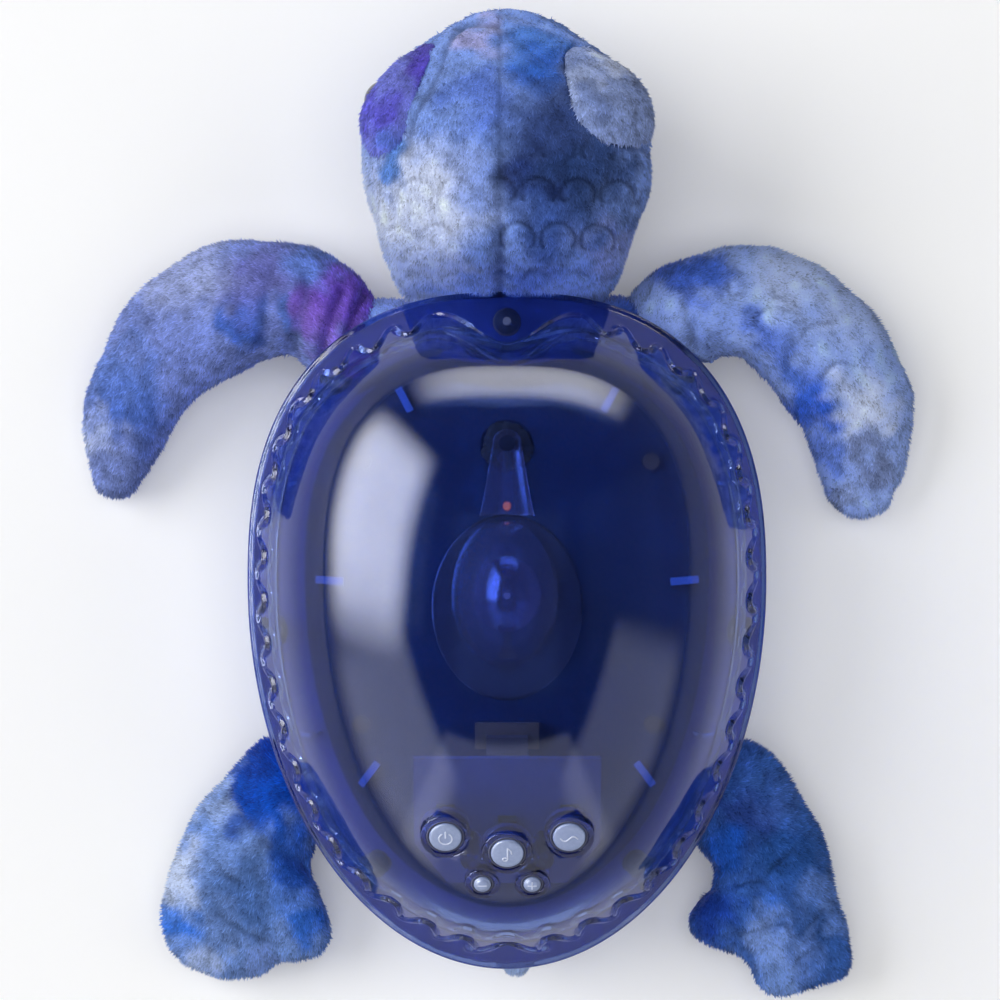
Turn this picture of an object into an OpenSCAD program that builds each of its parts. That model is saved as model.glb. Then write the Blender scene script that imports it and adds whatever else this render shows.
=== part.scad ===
// Turtle night light projector: a stuffed turtle that carries a clear domed shell.
// +Y points to the head and +Z up. The origin is on the floor under the middle of the shell.

/* [Shell] */
// Half of the shell's width at its widest line
shell_half_w = 89.5; // [86:0.5:96]
// Length from the widest line to the front edge
shell_front = 99.5; // [96:0.5:108]
// Length from the widest line to the tail edge
shell_rear = 134; // [129:0.5:144]
// Fullness of the front outline, where 2 is an ellipse
front_power = 2.45; // [2.3:0.05:2.8]
// Height of the dome over its rim
dome_h = 78; // [74:0.5:90]
// Steepness of the dome, where 1 is an ellipsoid
dome_power = 1.1; // [1:0.05:1.2]
// Wall of the dome
shell_wall = 2.6; // [2.2:0.1:3.2]
// Width of the flat rim outside the dome
rim_w = 4; // [3:0.25:5]
// Thickness of the rim
rim_t = 4; // [3:0.25:6]
// Radius of a shell screw boss
boss_r = 4.6; // [4:0.1:5]
// Height of a shell screw boss
boss_h = 12; // [9:0.5:13]
// Core radius of a shell screw
shell_screw_r = 1.4; // [1.1:0.05:1.8]
// Length of a shell screw
shell_screw_l = 12; // [9:0.5:13]

/* [Base] */
// Height of the stuffed belly up to the base's flange
belly_h = 44; // [42:0.5:50]
// Thickness of the base's flange
flange_t = 3; // [2.5:0.25:4.5]
// Distance of the flange's edge from the rim's edge
flange_inset = 2.5; // [1.5:0.25:4]
// Distance of the tub's outer face from the rim's edge
tub_inset = 27.5; // [26:0.25:28.5]
// Wall and floor of the tub
tub_wall = 2.5; // [2:0.1:3.2]
// Radius of a speaker grille hole
grille_r = 1.25; // [0.8:0.05:1.5]

/* [Deck] */
// Distance of the deck's edge from the rim's edge
deck_inset = 19; // [17.5:0.25:22]
// Thickness of the deck
deck_t = 3; // [2.5:0.25:4]
// Radius of a deck screw boss
deck_boss_r = 3.6; // [3.2:0.1:4]
// Core radius of a deck screw
deck_screw_r = 1.4; // [1.1:0.05:1.7]
// Length of a deck screw under its head
deck_screw_l = 12; // [8:0.5:16]
// Length of a pale light bar
bar_l = 10; // [7:0.5:13]
// Width of a pale light bar
bar_w = 2.6; // [2:0.1:3.5]
// Height of a pale light bar
bar_h = 2; // [1.5:0.1:3]

/* [Projector] */
// Distance of the ripple wheel's axis behind the widest line
projector_back = 4.75; // [2:0.25:8]
// Half width of the clear hood
hood_half_w = 18; // [17:0.25:20]
// Half length of the clear hood
hood_half_l = 25.5; // [24:0.25:28]
// Height of the clear hood over its flange
hood_h = 42; // [38:0.5:46]
// Wall of the hood
hood_wall = 1.6; // [1.2:0.1:2]
// Thickness of the hood's flange and stem
hood_flange_t = 2; // [1.6:0.1:2.5]
// Width of the hood's flange at its sides
hood_flange_w = 8; // [6:0.25:9]
// Length of the stem from the wheel's axis to its screw
stem_l = 52; // [49:0.5:56]
// Radius of the black pad under the stem
pad_r = 9; // [8:0.25:10]
// Thickness of the black pad
pad_t = 1.2; // [1:0.1:1.6]
// Radius of the ripple wheel
wheel_r = 14; // [12:0.25:14.5]
// Thickness of the ripple wheel
wheel_t = 2; // [1.5:0.1:3]
// Radius of the wheel's spindle
spindle_r = 1.5; // [1.2:0.05:1.8]
// Thickness of the light board
light_board_t = 1.2; // [1:0.1:1.6]
// Radius of a light emitter
led_r = 2.5; // [2:0.1:2.8]
// Height of a light emitter
led_h = 5; // [4:0.1:5.5]

/* [Drive] */
// Module of the gears
gear_m = 0.6; // [0.55:0.01:0.65]
// Teeth of the spindle gear
gear_teeth = 48; // [44:2:50]
// Teeth of the motor pinion
pinion_teeth = 12; // [11:1:14]
// Thickness of the spindle gear
gear_t = 3; // [2.5:0.1:3.5]
// Play between the flanks of meshing teeth
gear_play = 0.2; // [0.15:0.01:0.25]
// Radius of the motor can
motor_r = 10; // [9:0.25:11]
// Length of the motor can
motor_l = 15; // [12:0.5:17]
// Radius of the motor shaft
motor_shaft_r = 1; // [0.8:0.05:1.2]
// Thickness of the gear bracket
bracket_t = 2; // [1.6:0.1:2.5]

/* [Buttons] */
// Distance of the middle button ahead of the tail edge
panel_from_tail = 44.75; // [43:0.25:48]
// Radius of a large button
large_r = 5.45; // [5:0.05:5.8]
// Radius of a small button
small_r = 2.9; // [2.6:0.05:3.3]
// Side spacing of the outer large buttons
large_u = 20.5; // [19.5:0.25:22]
// Lift of the outer large buttons over the middle one
large_v = 4.5; // [3:0.25:6]
// Side spacing of the small buttons
small_u = 8.3; // [7.5:0.1:9]
// Drop of the small buttons under the middle one
small_v = 13.6; // [13.2:0.1:15]
// Play round a button
button_play = 0.45; // [0.3:0.05:0.6]
// Wall of the collar round a button
collar_wall = 2.3; // [1.8:0.1:2.5]
// Height of a large button over the shell
button_proud = 1.6; // [1.2:0.1:2.5]
// Travel of a button
button_travel = 0.8; // [0.5:0.1:1]
// Depth of the button board under the shell
board_depth = 17.5; // [17:0.25:19]
// Half width of the button board
board_half_w = 31; // [30:0.25:32]

/* [Battery and speaker] */
// Diameter of a cell
cell_d = 14.2; // [13.5:0.1:14.5]
// Length of a cell without its cap
cell_l = 49; // [46:0.5:50]
// Distance of the battery bay's middle ahead of the widest line
bay_ahead = 32; // [30:0.25:33]
// Thickness of the battery door
door_t = 2; // [1.6:0.1:2.4]
// Depth of the door's face over the floor
door_recess = 0.8; // [0.6:0.1:1.2]
// Radius of the speaker
speaker_r = 25; // [23:0.25:26]
// Depth of the speaker
speaker_h = 16; // [14:0.5:17]
// Distance of the speaker's axis ahead of the tail edge
speaker_from_tail = 78; // [77:0.25:82]

/* [Clearances] */
// Gap between stuffed pieces and their neighbours
soft_gap = 0.3; // [0.2:0.05:0.6]
// Gap round a piece that is set in a recess
set_gap = 0.3; // [0.2:0.05:0.4]
// Radial gap of a screw in its hole
screw_gap = 0.1; // [0.05:0.01:0.2]
// Radial gap of a shaft in its bush
shaft_gap = 0.05; // [0.02:0.01:0.1]

/* [Stuffed pieces] */
// Size of the limbs' cross sections against those drawn here
limb_fullness = 1; // [0.9:0.02:1.08]
// Height of the head's crown over the floor
crown_z = 90; // [84:0.5:96]
// Radius of an eye
eye_r = 7.5; // [6.5:0.1:8]

/* [Hidden] */
$fn = 48;

plush_blue = "#6a86c8";
plush_pale = "#a8bbdc";
plush_violet = "#5a3fa8";
shell_blue = [0.18, 0.25, 0.72, 0.55];
hood_clear = [0.35, 0.45, 0.85, 0.45];
deck_navy = "#1d2f7a";
base_blue = "#27408f";
screw_dark = "#2b2a2e";
steel = "#b9bcc2";
brass_tone = "#b8994f";
button_pale = "#b7c1dc";
white_plastic = "#e9e9ea";
board_pale = "#7f93bd";
board_green = "#2c6b4a";
black_part = "#17171a";
tan_part = "#8b6b55";
bar_pale = "#86a8f0";
cell_green = "#3f6b4d";
amber = "#f08a35";
emitter_pale = "#cfe0ff";
lead_red = "#a83030";

// Overshoot of a cut past the face that it opens
over = 1;
// Spare depth of a blind screw hole past the screw's tip
pilot_spare = 0.5;

// Levels from the floor up
rim_z = belly_h + flange_t;
rim_top = rim_z + rim_t;
deck_top = rim_z + deck_t;

// Places along the shell
shell_half_l = (shell_front + shell_rear) / 2;
widest_y = (shell_rear - shell_front) / 2;
front_y = shell_half_l;
tail_y = -shell_half_l;
projector_y = widest_y - projector_back;
bay_y = widest_y + bay_ahead;
speaker_y = tail_y + speaker_from_tail;

// Point of the shell's plan outline at angle a, drawn in by inset
function edge_pt(a, inset) =
    sin(a) >= 0
        ? [(shell_half_w - inset) * sign(cos(a)) * pow(abs(cos(a)), 2 / front_power),
           widest_y + (shell_front - inset) * pow(sin(a), 2 / front_power)]
        : [(shell_half_w - inset) * cos(a), widest_y + (shell_rear - inset) * sin(a)];

outline_seg = 72;
function outline(inset) = [for (i = [0:outline_seg - 1]) edge_pt(360 * i / outline_seg, inset)];

module prism(inset, z0, z1)
    translate([0, 0, z0])
        linear_extrude(height = z1 - z0)
            polygon(outline(inset));

module at(p, z = 0)
    translate([p[0], p[1], z])
        children();

// Skins through rings of n points each: the first ring is seen anticlockwise from outside
function ring_faces(n, i, k) = [for (j = [0:n - 1]) each [
    [i * n + j, i * n + (j + 1) % n, k * n + (j + 1) % n],
    [i * n + j, k * n + (j + 1) % n, k * n + j]
]];

// Closed body between two end points
module capped_skin(first, rings, last) {
    n = len(rings[0]);
    m = len(rings);
    ends = n * m;
    polyhedron(
        points = concat([for (r = rings) each r], [first, last]),
        faces = concat(
            [for (j = [0:n - 1]) [ends, (j + 1) % n, j]],
            [for (i = [0:m - 2]) each ring_faces(n, i, i + 1)],
            [for (j = [0:n - 1]) [ends + 1, (m - 1) * n + j, (m - 1) * n + (j + 1) % n]]),
        convexity = 6);
}

// Closed ring-shaped body, the last ring joined to the first
module looped_skin(rings) {
    n = len(rings[0]);
    m = len(rings);
    polyhedron(
        points = [for (r = rings) each r],
        faces = [for (i = [0:m - 1]) each ring_faces(n, i, (i + 1) % m)],
        convexity = 6);
}

// Smooth values between stations, passing through each of them
function mid_value(a, b, c, d, t) =
    0.5 * (2 * b + (c - a) * t + (2 * a - 5 * b + 4 * c - d) * t * t + (3 * b - a - 3 * c + d) * t * t * t);
function smoothed(list, steps) = concat(
    [for (i = [0:len(list) - 2], k = [0:steps - 1])
        mid_value(list[max(i - 1, 0)], list[i], list[i + 1], list[min(i + 2, len(list) - 1)], k / steps)],
    [list[len(list) - 1]]);

// Stuffed body: a bulging ring round the tub, as [height over the floor, extra inset]
body_seg = 48;
body_base = soft_gap;
body_top = belly_h - soft_gap;
body_h = body_top - body_base;
body_profile = [[1, 17], [0.9, 9], [0.72, 4], [0.5, 3], [0.3, 5], [0.12, 10], [0, 18]];
function body_ring(inset, z) = [for (i = [0:body_seg - 1])
    let (p = edge_pt(360 * i / body_seg, inset))
    [p[0], p[1], z]];
function body_rings(grow) = [for (s = body_profile)
    body_ring(s[1] - grow, s[0] < 0.5 ? body_base + s[0] * body_h - grow : body_base + s[0] * body_h + grow)];

// The body without its pocket, which the other stuffed pieces are cut by
module body_bulk(grow)
    capped_skin([0, widest_y, body_top + grow], body_rings(grow), [0, widest_y, body_base - grow]);

module plush_body() color(plush_blue)
    looped_skin(concat(
        [body_ring(tub_inset - soft_gap, body_top)],
        body_rings(0),
        [body_ring(tub_inset - soft_gap, body_base)]));

// Room of the hard rim and dome, kept free by the stuffed pieces
module rim_room() prism(-2 * soft_gap, belly_h - soft_gap, rim_top + dome_h);

// Limb along stations [x, y, half width, half thickness, height of the middle] from its anchor
limb_sides = 14;
function limb_ring(list, i, anchor) =
    let (s = list[i])
    let (d = list[min(i + 1, len(list) - 1)] - list[max(i - 1, 0)])
    let (run = norm([d[0], d[1]]))
    [for (k = [0:limb_sides - 1])
        let (a = 360 * k / limb_sides)
        let (w = s[2] * limb_fullness * cos(a) / run)
        [anchor[0] + s[0] + d[1] * w, anchor[1] + s[1] - d[0] * w, s[4] + s[3] * limb_fullness * sin(a)]];

// The last station is rounded off towards the tip by one smaller ring
tip_share = 0.7;
tip_size = 0.66;
module limb(stations, anchor, tip) {
    drawn = smoothed(stations, 2);
    first = drawn[0];
    last = drawn[len(drawn) - 1];
    round_end = [last[0] + tip_share * tip[0], last[1] + tip_share * tip[1],
        tip_size * last[2], tip_size * last[3], last[4]];
    path = concat(drawn, [round_end]);
    capped_skin(
        [anchor[0] + first[0], anchor[1] + first[1], first[4]],
        [for (i = [0:len(path) - 1]) limb_ring(path, i, anchor)],
        [anchor[0] + last[0] + tip[0], anchor[1] + last[1] + tip[1], last[4]]);
}

module sewn_limb(stations, anchor, tip)
    difference() {
        limb(stations, anchor, tip);
        body_bulk(soft_gap);
        rim_room();
    }

front_left_anchor = edge_pt(130, 0);
front_left_path = [
    [16, -14, 15, 14, 22], [4, 7, 17, 16, 22], [-11.5, 17.4, 19.5, 17, 21], [-33.3, 16.3, 21.3, 17, 19],
    [-55, 4.5, 20.6, 15, 16.5], [-68.5, -15.7, 16.5, 12.5, 13.5], [-73.8, -33.6, 12.7, 10, 11],
    [-76.6, -45, 7.7, 6.5, 9]
];
front_right_anchor = edge_pt(50, 0);
front_right_path = [
    [-16, -14, 15, 14, 22], [-3.4, 10, 18, 16, 22], [10, 16, 18, 17, 21], [28, 15.7, 20, 17, 19],
    [46, 3.3, 22.5, 15, 16.5], [58.3, -13.6, 21.3, 12.5, 13.5], [62.6, -32.9, 17, 10, 11],
    [62.2, -48.8, 11.5, 7, 9]
];
rear_left_anchor = edge_pt(218, 0);
rear_left_path = [
    [14, 10, 18, 13, 20], [-5, 4.2, 21.5, 15, 19], [-13.2, -4.5, 22.5, 15, 17], [-18.8, -15.8, 24, 14, 15.5],
    [-21.5, -28.5, 27, 13, 14], [-22, -39.5, 28.3, 12, 13], [-21, -48.7, 25.3, 10, 11.5],
    [-21.3, -54.3, 15, 6, 10]
];
rear_right_anchor = edge_pt(322, 0);
rear_right_path = [
    [-14, 10, 18, 13, 20], [5.7, 6.4, 19.4, 15, 19], [13.9, -2.4, 19.8, 15, 17],
    [19.5, -14.4, 20.5, 14, 15.5], [20.4, -27.8, 24, 13, 14], [22.3, -39.5, 26, 12, 13],
    [29, -49.4, 21.5, 10, 11.5], [33, -58.5, 15, 6, 10]
];
front_left_tip = [-0.5, -6];
front_right_tip = [-1, -9];
rear_left_tip = [-2, -4];
rear_right_tip = [1, -6.5];
tail_tip = [0, -1.4];
tail_path = [[3, 16, 9, 8, 20], [3, 6, 7.5, 7, 19], [3.2, -1, 5, 5, 18], [3.2, -3.5, 3.2, 3.4, 17.5]];

module front_left_flipper() color(plush_blue)
    sewn_limb(front_left_path, front_left_anchor, front_left_tip);
module front_right_flipper() color(plush_blue)
    sewn_limb(front_right_path, front_right_anchor, front_right_tip);
module rear_left_flipper() color(plush_blue)
    sewn_limb(rear_left_path, rear_left_anchor, rear_left_tip);
module rear_right_flipper() color(plush_blue)
    sewn_limb(rear_right_path, rear_right_anchor, rear_right_tip);
module tail() color(plush_pale) sewn_limb(tail_path, [0, tail_y], tail_tip);

// Head along stations [distance ahead of the shell, half width, underside, top below the crown]
head_sides = 24;
head_path = [
    [-16, 30, 8, 52], [-3, 34, 8, 48], [3, 37.5, 9, 30], [10, 40, 10, 13], [18, 42.5, 10, 4.5],
    [31, 46.8, 10, 0.5], [45, 49.2, 10, 0], [58, 49.2, 11, 2], [66, 47.5, 13, 6], [74, 42.5, 16, 12],
    [81, 35, 20, 19], [88, 26, 26, 28], [93, 18.5, 31, 36], [96.5, 11, 37, 42]
];
head_reach = 98;
head_tip = [0, front_y + head_reach, crown_z - 46];
function head_ring(s, grow) = [for (k = [0:head_sides - 1])
    let (a = 360 * k / head_sides)
    let (top = crown_z - s[3])
    [(s[1] + grow) * cos(a), front_y + s[0], (top + s[2]) / 2 + ((top - s[2]) / 2 + grow) * sin(a)]];

module head_bulk(grow)
    capped_skin(
        [0, front_y + head_path[0][0], (crown_z - head_path[0][3] + head_path[0][2]) / 2],
        [for (s = head_path) head_ring(s, grow)],
        head_tip + [0, grow, 0]);

module head() color(plush_blue)
    difference() {
        head_bulk(0);
        body_bulk(soft_gap);
        rim_room();
    }

// Padded eyelid on the flank of the head, an egg of rings along its own length
lid_size = [11.5, 21, 12];
lid_place = [36, 64, 23];
lid_yaw = 24;
lid_sides = 14;
lid_rings = 8;
function lid_ring(k) = [for (j = [0:lid_sides - 1])
    let (a = 360 * j / lid_sides)
    let (t = 180 * k / (lid_rings + 1))
    [lid_size[0] * sin(t) * cos(a), -lid_size[1] * cos(t), lid_size[2] * sin(t) * sin(a)]];

module eyelid(side)
    difference() {
        translate([side * lid_place[0], front_y + lid_place[1], crown_z - lid_place[2]])
            rotate(side * lid_yaw)
                capped_skin(
                    [0, -lid_size[1], 0],
                    [for (k = [1:lid_rings]) lid_ring(k)],
                    [0, lid_size[1], 0]);
        head_bulk(soft_gap);
    }

module eyelid_left() color(plush_violet) eyelid(-1);
module eyelid_right() color(plush_pale) eyelid(1);

eye_place = [43.5, 66, 44];
module eyes() color(black_part)
    for (side = [-1, 1])
        difference() {
            translate([side * eye_place[0], front_y + eye_place[1], crown_z - eye_place[2]])
                sphere(r = eye_r);
            head_bulk(soft_gap);
        }

// The dome's outer face, as a height over the floor
function dome_share(x, y) =
    y >= widest_y
        ? pow(pow(abs(x) / (shell_half_w - rim_w), front_power)
            + pow((y - widest_y) / (shell_front - rim_w), front_power), 1 / front_power)
        : norm([x / (shell_half_w - rim_w), (y - widest_y) / (shell_rear - rim_w)]);
function dome_z(x, y) = rim_top + dome_h * pow(max(0, 1 - pow(dome_share(x, y), 2)), dome_power / 2);

// Frame of the button panel: origin on the dome at the middle button, Z out of the shell
panel_y = tail_y + panel_from_tail;
panel_z = dome_z(0, panel_y);
slope_step = 0.5;
panel_tilt = atan((dome_z(0, panel_y + slope_step) - dome_z(0, panel_y - slope_step)) / (2 * slope_step));
module on_panel()
    translate([0, panel_y, panel_z])
        rotate([panel_tilt, 0, 0])
            children();
function panel_pt(v, w) = [
    panel_y + v * cos(panel_tilt) - w * sin(panel_tilt),
    panel_z + v * sin(panel_tilt) + w * cos(panel_tilt)
];

// Height of the dome's face over the panel's plane at u, v, found in steps
function face_w(u, v, w = 0, steps = 8) =
    let (p = panel_pt(v, w))
    steps == 0 ? w : face_w(u, v, w - (p[1] - dome_z(u, p[0])) * cos(panel_tilt), steps - 1);

// Buttons as [u, v, radius]: power, sound, wave, less, more
button_spots = [
    [-large_u, large_v, large_r], [0, 0, large_r], [large_u, large_v, large_r],
    [-small_u, -small_v, small_r], [small_u, -small_v, small_r]
];
collar_in = 6.5;
collar_out = 0.6;
lip_w = 1.2;
lip_t = 1.2;
stem_r = 2;
switch_w = 6;
switch_h = 3.5;
plunger_r = 1.7;
plunger_out = 1.5;
plunger_in = 0.9;
stem_end = -board_depth + switch_h + plunger_out;
button_board_t = 1.6;
post_spots = [[-12, -6], [12, -6]];
post_r = 3.4;
post_sunk = 1.3;
function button_face(b) = face_w(b[0], b[1]);

// Shell: dome outside, flat rim, and dome inside, in rings from the crown down and up again
dome_seg = 56;
dome_rings = 9;
function dome_ring(inset, k, h) = [for (i = [0:dome_seg - 1])
    let (p = edge_pt(360 * i / dome_seg, inset))
    let (t = 90 * k / dome_rings)
    [p[0] * sin(t), widest_y + (p[1] - widest_y) * sin(t), rim_top + h * pow(cos(t), dome_power)]];
function rim_ring(inset, z) = [for (i = [0:dome_seg - 1])
    let (p = edge_pt(360 * i / dome_seg, inset))
    [p[0], p[1], z]];
boss_sink = 0.4;
boss_inset = rim_w + shell_wall + boss_r - boss_sink;
boss_angles = [90, 47, 133, -8, 188, -54, 234];
boss_pilot = shell_screw_l - flange_t + pilot_spare;

module shell_skin()
    capped_skin(
        [0, widest_y, rim_top + dome_h],
        concat(
            [for (k = [1:dome_rings]) dome_ring(rim_w, k, dome_h)],
            [rim_ring(0, rim_top), rim_ring(0, rim_z), rim_ring(rim_w + shell_wall, rim_z)],
            [for (k = [dome_rings - 1:-1:1]) dome_ring(rim_w + shell_wall, k, dome_h - shell_wall)]),
        [0, widest_y, rim_top + dome_h - shell_wall]);

module shell_dome() color(shell_blue)
    difference() {
        union() {
            shell_skin();
            for (a = boss_angles)
                at(edge_pt(a, boss_inset), rim_z)
                    cylinder(r = boss_r, h = boss_h);
            on_panel() {
                for (b = button_spots)
                    translate([b[0], b[1], button_face(b) - collar_in])
                        cylinder(r = b[2] + button_play + collar_wall, h = collar_in + collar_out);
                for (p = post_spots)
                    at(p, -board_depth)
                        cylinder(r = post_r, h = board_depth + face_w(p[0], p[1]) - post_sunk);
            }
        }
        for (a = boss_angles)
            at(edge_pt(a, boss_inset), rim_z - over)
                cylinder(r = shell_screw_r + screw_gap, h = boss_pilot + over);
        on_panel() {
            for (b = button_spots)
                translate([b[0], b[1], button_face(b) - collar_in - over])
                    cylinder(r = b[2] + button_play, h = 4 * collar_in);
            for (p = post_spots)
                at(p, -board_depth - over)
                    small_pilot(small_screw_l + over);
        }
    }

// Countersunk screws that hold the shell to the base from below
head_flare = 1.6;
module shell_screw(grow)
    union() {
        cylinder(r1 = shell_screw_r + head_flare + grow, r2 = shell_screw_r + grow, h = head_flare);
        cylinder(r = shell_screw_r + grow, h = shell_screw_l);
    }
module shell_screws() color(screw_dark)
    for (a = boss_angles)
        at(edge_pt(a, boss_inset), belly_h)
            shell_screw(0);

// Small pan screws shared by the bracket, motor, boards and speaker; the head is under the origin
small_screw_r = 0.85;
small_screw_l = 4;
small_head_r = 1.9;
small_head_h = 1.3;
module small_screw()
    union() {
        cylinder(r = small_screw_r, h = small_screw_l);
        translate([0, 0, -small_head_h])
            cylinder(r = small_head_r, h = small_head_h);
    }
module small_pilot(depth) cylinder(r = small_screw_r + screw_gap, h = depth);

// Battery bay: three cells side by side along X, their caps to alternate ends
cell_count = 3;
cell_cap_l = 1.2;
cell_cap_r = 2.7;
cell_gap = 0.7;
cell_pitch = cell_d + cell_gap;
contact_t = 0.5;
contact_w = 10;
spring_l = 5;
spring_r = 4;
spring_wire = 0.8;
bay_half_x = (cell_l + cell_cap_l + spring_l) / 2 + contact_t;
bay_half_y = cell_count * cell_pitch / 2;
door_lip_x = 6;
door_lip_y = 2;
bay_wall = 1.5;
cell_lift = 0.5;
door_top = door_recess + door_t;
cell_z = door_top + cell_lift + cell_d / 2;
bay_top = cell_z + cell_d / 2 + cell_lift;
door_half_x = bay_half_x + door_lip_x;
door_half_y = bay_half_y + door_lip_y;
bay_out_x = door_half_x + set_gap + bay_wall;
bay_out_y = door_half_y + set_gap + bay_wall;
door_screw_r = 1.25;
door_screw_l = 6;
door_head_r = 2.5;
door_head_h = 1.1;
door_spots = [[-bay_half_x - door_lip_x / 2, bay_y], [bay_half_x + door_lip_x / 2, bay_y]];

module block(half_x, half_y, y, z0, z1)
    translate([-half_x, y - half_y, z0])
        cube([2 * half_x, 2 * half_y, z1 - z0]);

// Places of the deck bosses, the main board's posts and the speaker's ears
deck_boss_sink = 1.6;
deck_boss_inset = tub_inset + tub_wall + deck_boss_r - deck_boss_sink;
deck_angles = [33, 147, 209, 331];
main_board_size = [26, 32, 1.6];
main_board_x = -32;
board_room = 2.5;
board_lift = 5;
bay_back = bay_y - bay_out_y;
main_board_y = bay_back - board_room - main_board_size[1] / 2;
main_board_z = tub_wall + speaker_h + board_lift;
main_post_r = 2.5;
main_post_edge = 3;
main_posts = [for (i = [-1, 1], j = [-1, 1])
    [main_board_x + i * (main_board_size[0] / 2 - main_post_edge),
     main_board_y + j * (main_board_size[1] / 2 - main_post_edge)]];
ear_r = 3.2;
ear_out = 2;
ear_reach = speaker_r + ear_out;
ear_t = 1.2;
gasket_t = 0.8;
ears = [for (a = [30, 150, 270]) [ear_reach * cos(a), speaker_y + ear_reach * sin(a)]];
grille_sides = 16;
grille_rings = [[0, 1], [6, 6], [12, 12], [18, 18]];

module base_housing() color(base_blue)
    difference() {
        union() {
            difference() {
                union() {
                    prism(tub_inset, 0, belly_h);
                    prism(flange_inset, belly_h, rim_z);
                }
                prism(tub_inset + tub_wall, tub_wall, rim_z + over);
            }
            block(bay_out_x, bay_out_y, bay_y, 0, bay_top + bay_wall);
            for (a = deck_angles)
                at(edge_pt(a, deck_boss_inset), tub_wall / 2)
                    cylinder(r = deck_boss_r, h = rim_z - tub_wall / 2);
            for (p = main_posts)
                at(p, tub_wall / 2)
                    cylinder(r = main_post_r, h = main_board_z - tub_wall / 2);
            for (p = ears)
                at(p, tub_wall / 2)
                    cylinder(r = ear_r, h = tub_wall / 2 + gasket_t);
        }
        block(bay_half_x, bay_half_y, bay_y, door_top - over, bay_top);
        block(door_half_x + set_gap, door_half_y + set_gap, bay_y, -over, door_top);
        for (p = door_spots)
            at(p, door_top - over)
                cylinder(r = door_screw_r + screw_gap, h = door_screw_l + over);
        for (a = deck_angles)
            at(edge_pt(a, deck_boss_inset), rim_z - deck_screw_l)
                cylinder(r = deck_screw_r + screw_gap, h = deck_screw_l + over);
        for (p = main_posts)
            at(p, main_board_z - small_screw_l)
                small_pilot(small_screw_l + over);
        for (p = ears)
            at(p, speaker_base + ear_t - small_screw_l - screw_gap)
                small_pilot(small_screw_l);
        for (g = grille_rings, i = [0:g[1] - 1])
            at([g[0] * cos(360 * i / g[1]), speaker_y + g[0] * sin(360 * i / g[1])], -over)
                cylinder(r = grille_r, h = tub_wall + 2 * over, $fn = grille_sides);
        for (a = boss_angles)
            at(edge_pt(a, boss_inset), belly_h)
                shell_screw(screw_gap);
    }

module battery_door() color(base_blue)
    difference() {
        block(door_half_x, door_half_y, bay_y, door_recess, door_top);
        for (p = door_spots) {
            at(p, door_recess - over)
                cylinder(r = door_head_r + set_gap, h = over + door_head_h + screw_gap);
            at(p, door_recess)
                cylinder(r = door_screw_r + screw_gap, h = door_t + over);
        }
    }

module door_screws() color(steel)
    for (p = door_spots)
        at(p, door_recess) {
            translate([0, 0, screw_gap])
                cylinder(r = door_head_r, h = door_head_h);
            translate([0, 0, door_head_h])
                cylinder(r = door_screw_r, h = door_screw_l - door_head_h);
        }

function cell_y(i) = bay_y + (i - (cell_count - 1) / 2) * cell_pitch;
function cell_side(i) = i % 2 == 0 ? 1 : -1;

module battery_cells() color(cell_green)
    for (i = [0:cell_count - 1])
        translate([cell_side(i) * (spring_l - cell_cap_l) / 2, cell_y(i), cell_z])
            rotate([0, cell_side(i) * 90, 0])
                union() {
                    translate([0, 0, -cell_l / 2])
                        cylinder(d = cell_d, h = cell_l);
                    cylinder(r = cell_cap_r, h = cell_l / 2 + cell_cap_l);
                }

module battery_contacts() color(steel)
    for (i = [0:cell_count - 1])
        translate([0, cell_y(i), cell_z])
            rotate([0, cell_side(i) * 90, 0]) {
                translate([-contact_w / 2, -contact_w / 2, bay_half_x - contact_t])
                    cube([contact_w, contact_w, contact_t]);
                union() {
                    translate([-contact_w / 2, -contact_w / 2, -bay_half_x])
                        cube([contact_w, contact_w, contact_t]);
                    translate([0, 0, -bay_half_x])
                        difference() {
                            cylinder(r = spring_r, h = contact_t + spring_l);
                            translate([0, 0, contact_t])
                                cylinder(r = spring_r - spring_wire, h = spring_l + over);
                        }
                }
            }

// Speaker, facing down over the grille
magnet_r = 12;
magnet_h = 6;
basket_wall = 1;
cone_seat = 19;
seat_lip = 1.5;
seat_flare = 2;
surround_w = 1.2;
surround_t = 0.5;
cone_drop = 4;
cone_lift = 0.3;
cone_t = 0.6;
dust_cap_r = 7;
dust_dome = 0.8;
gasket_w = 3.5;
speaker_base = tub_wall + gasket_t;
basket_top = speaker_h - gasket_t - magnet_h;
module at_speaker(z)
    translate([0, speaker_y, z])
        children();

module speaker_gasket() color(black_part)
    at_speaker(tub_wall)
        difference() {
            cylinder(r = speaker_r, h = gasket_t);
            translate([0, 0, -over])
                cylinder(r = speaker_r - gasket_w, h = gasket_t + 2 * over);
            for (p = ears)
                translate([p[0], p[1] - speaker_y, -over])
                    cylinder(r = ear_r + set_gap, h = gasket_t + 2 * over);
        }

module speaker_basket() color(steel)
    difference() {
        union() {
            at_speaker(speaker_base)
                rotate_extrude()
                    polygon([
                        [cone_seat + seat_lip, 0], [speaker_r, 0], [speaker_r, ear_t],
                        [cone_seat + seat_lip + seat_flare, ear_t], [magnet_r + basket_wall, basket_top],
                        [0, basket_top], [0, basket_top - basket_wall],
                        [magnet_r, basket_top - basket_wall], [cone_seat + seat_lip, ear_t]
                    ]);
            for (p = ears)
                at(p, speaker_base)
                    cylinder(r = ear_r, h = ear_t);
        }
        for (p = ears)
            at(p, speaker_base - over)
                small_pilot(ear_t + 2 * over);
    }

module speaker_magnet() color(black_part)
    at_speaker(speaker_base + basket_top)
        cylinder(r = magnet_r, h = magnet_h);

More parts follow.
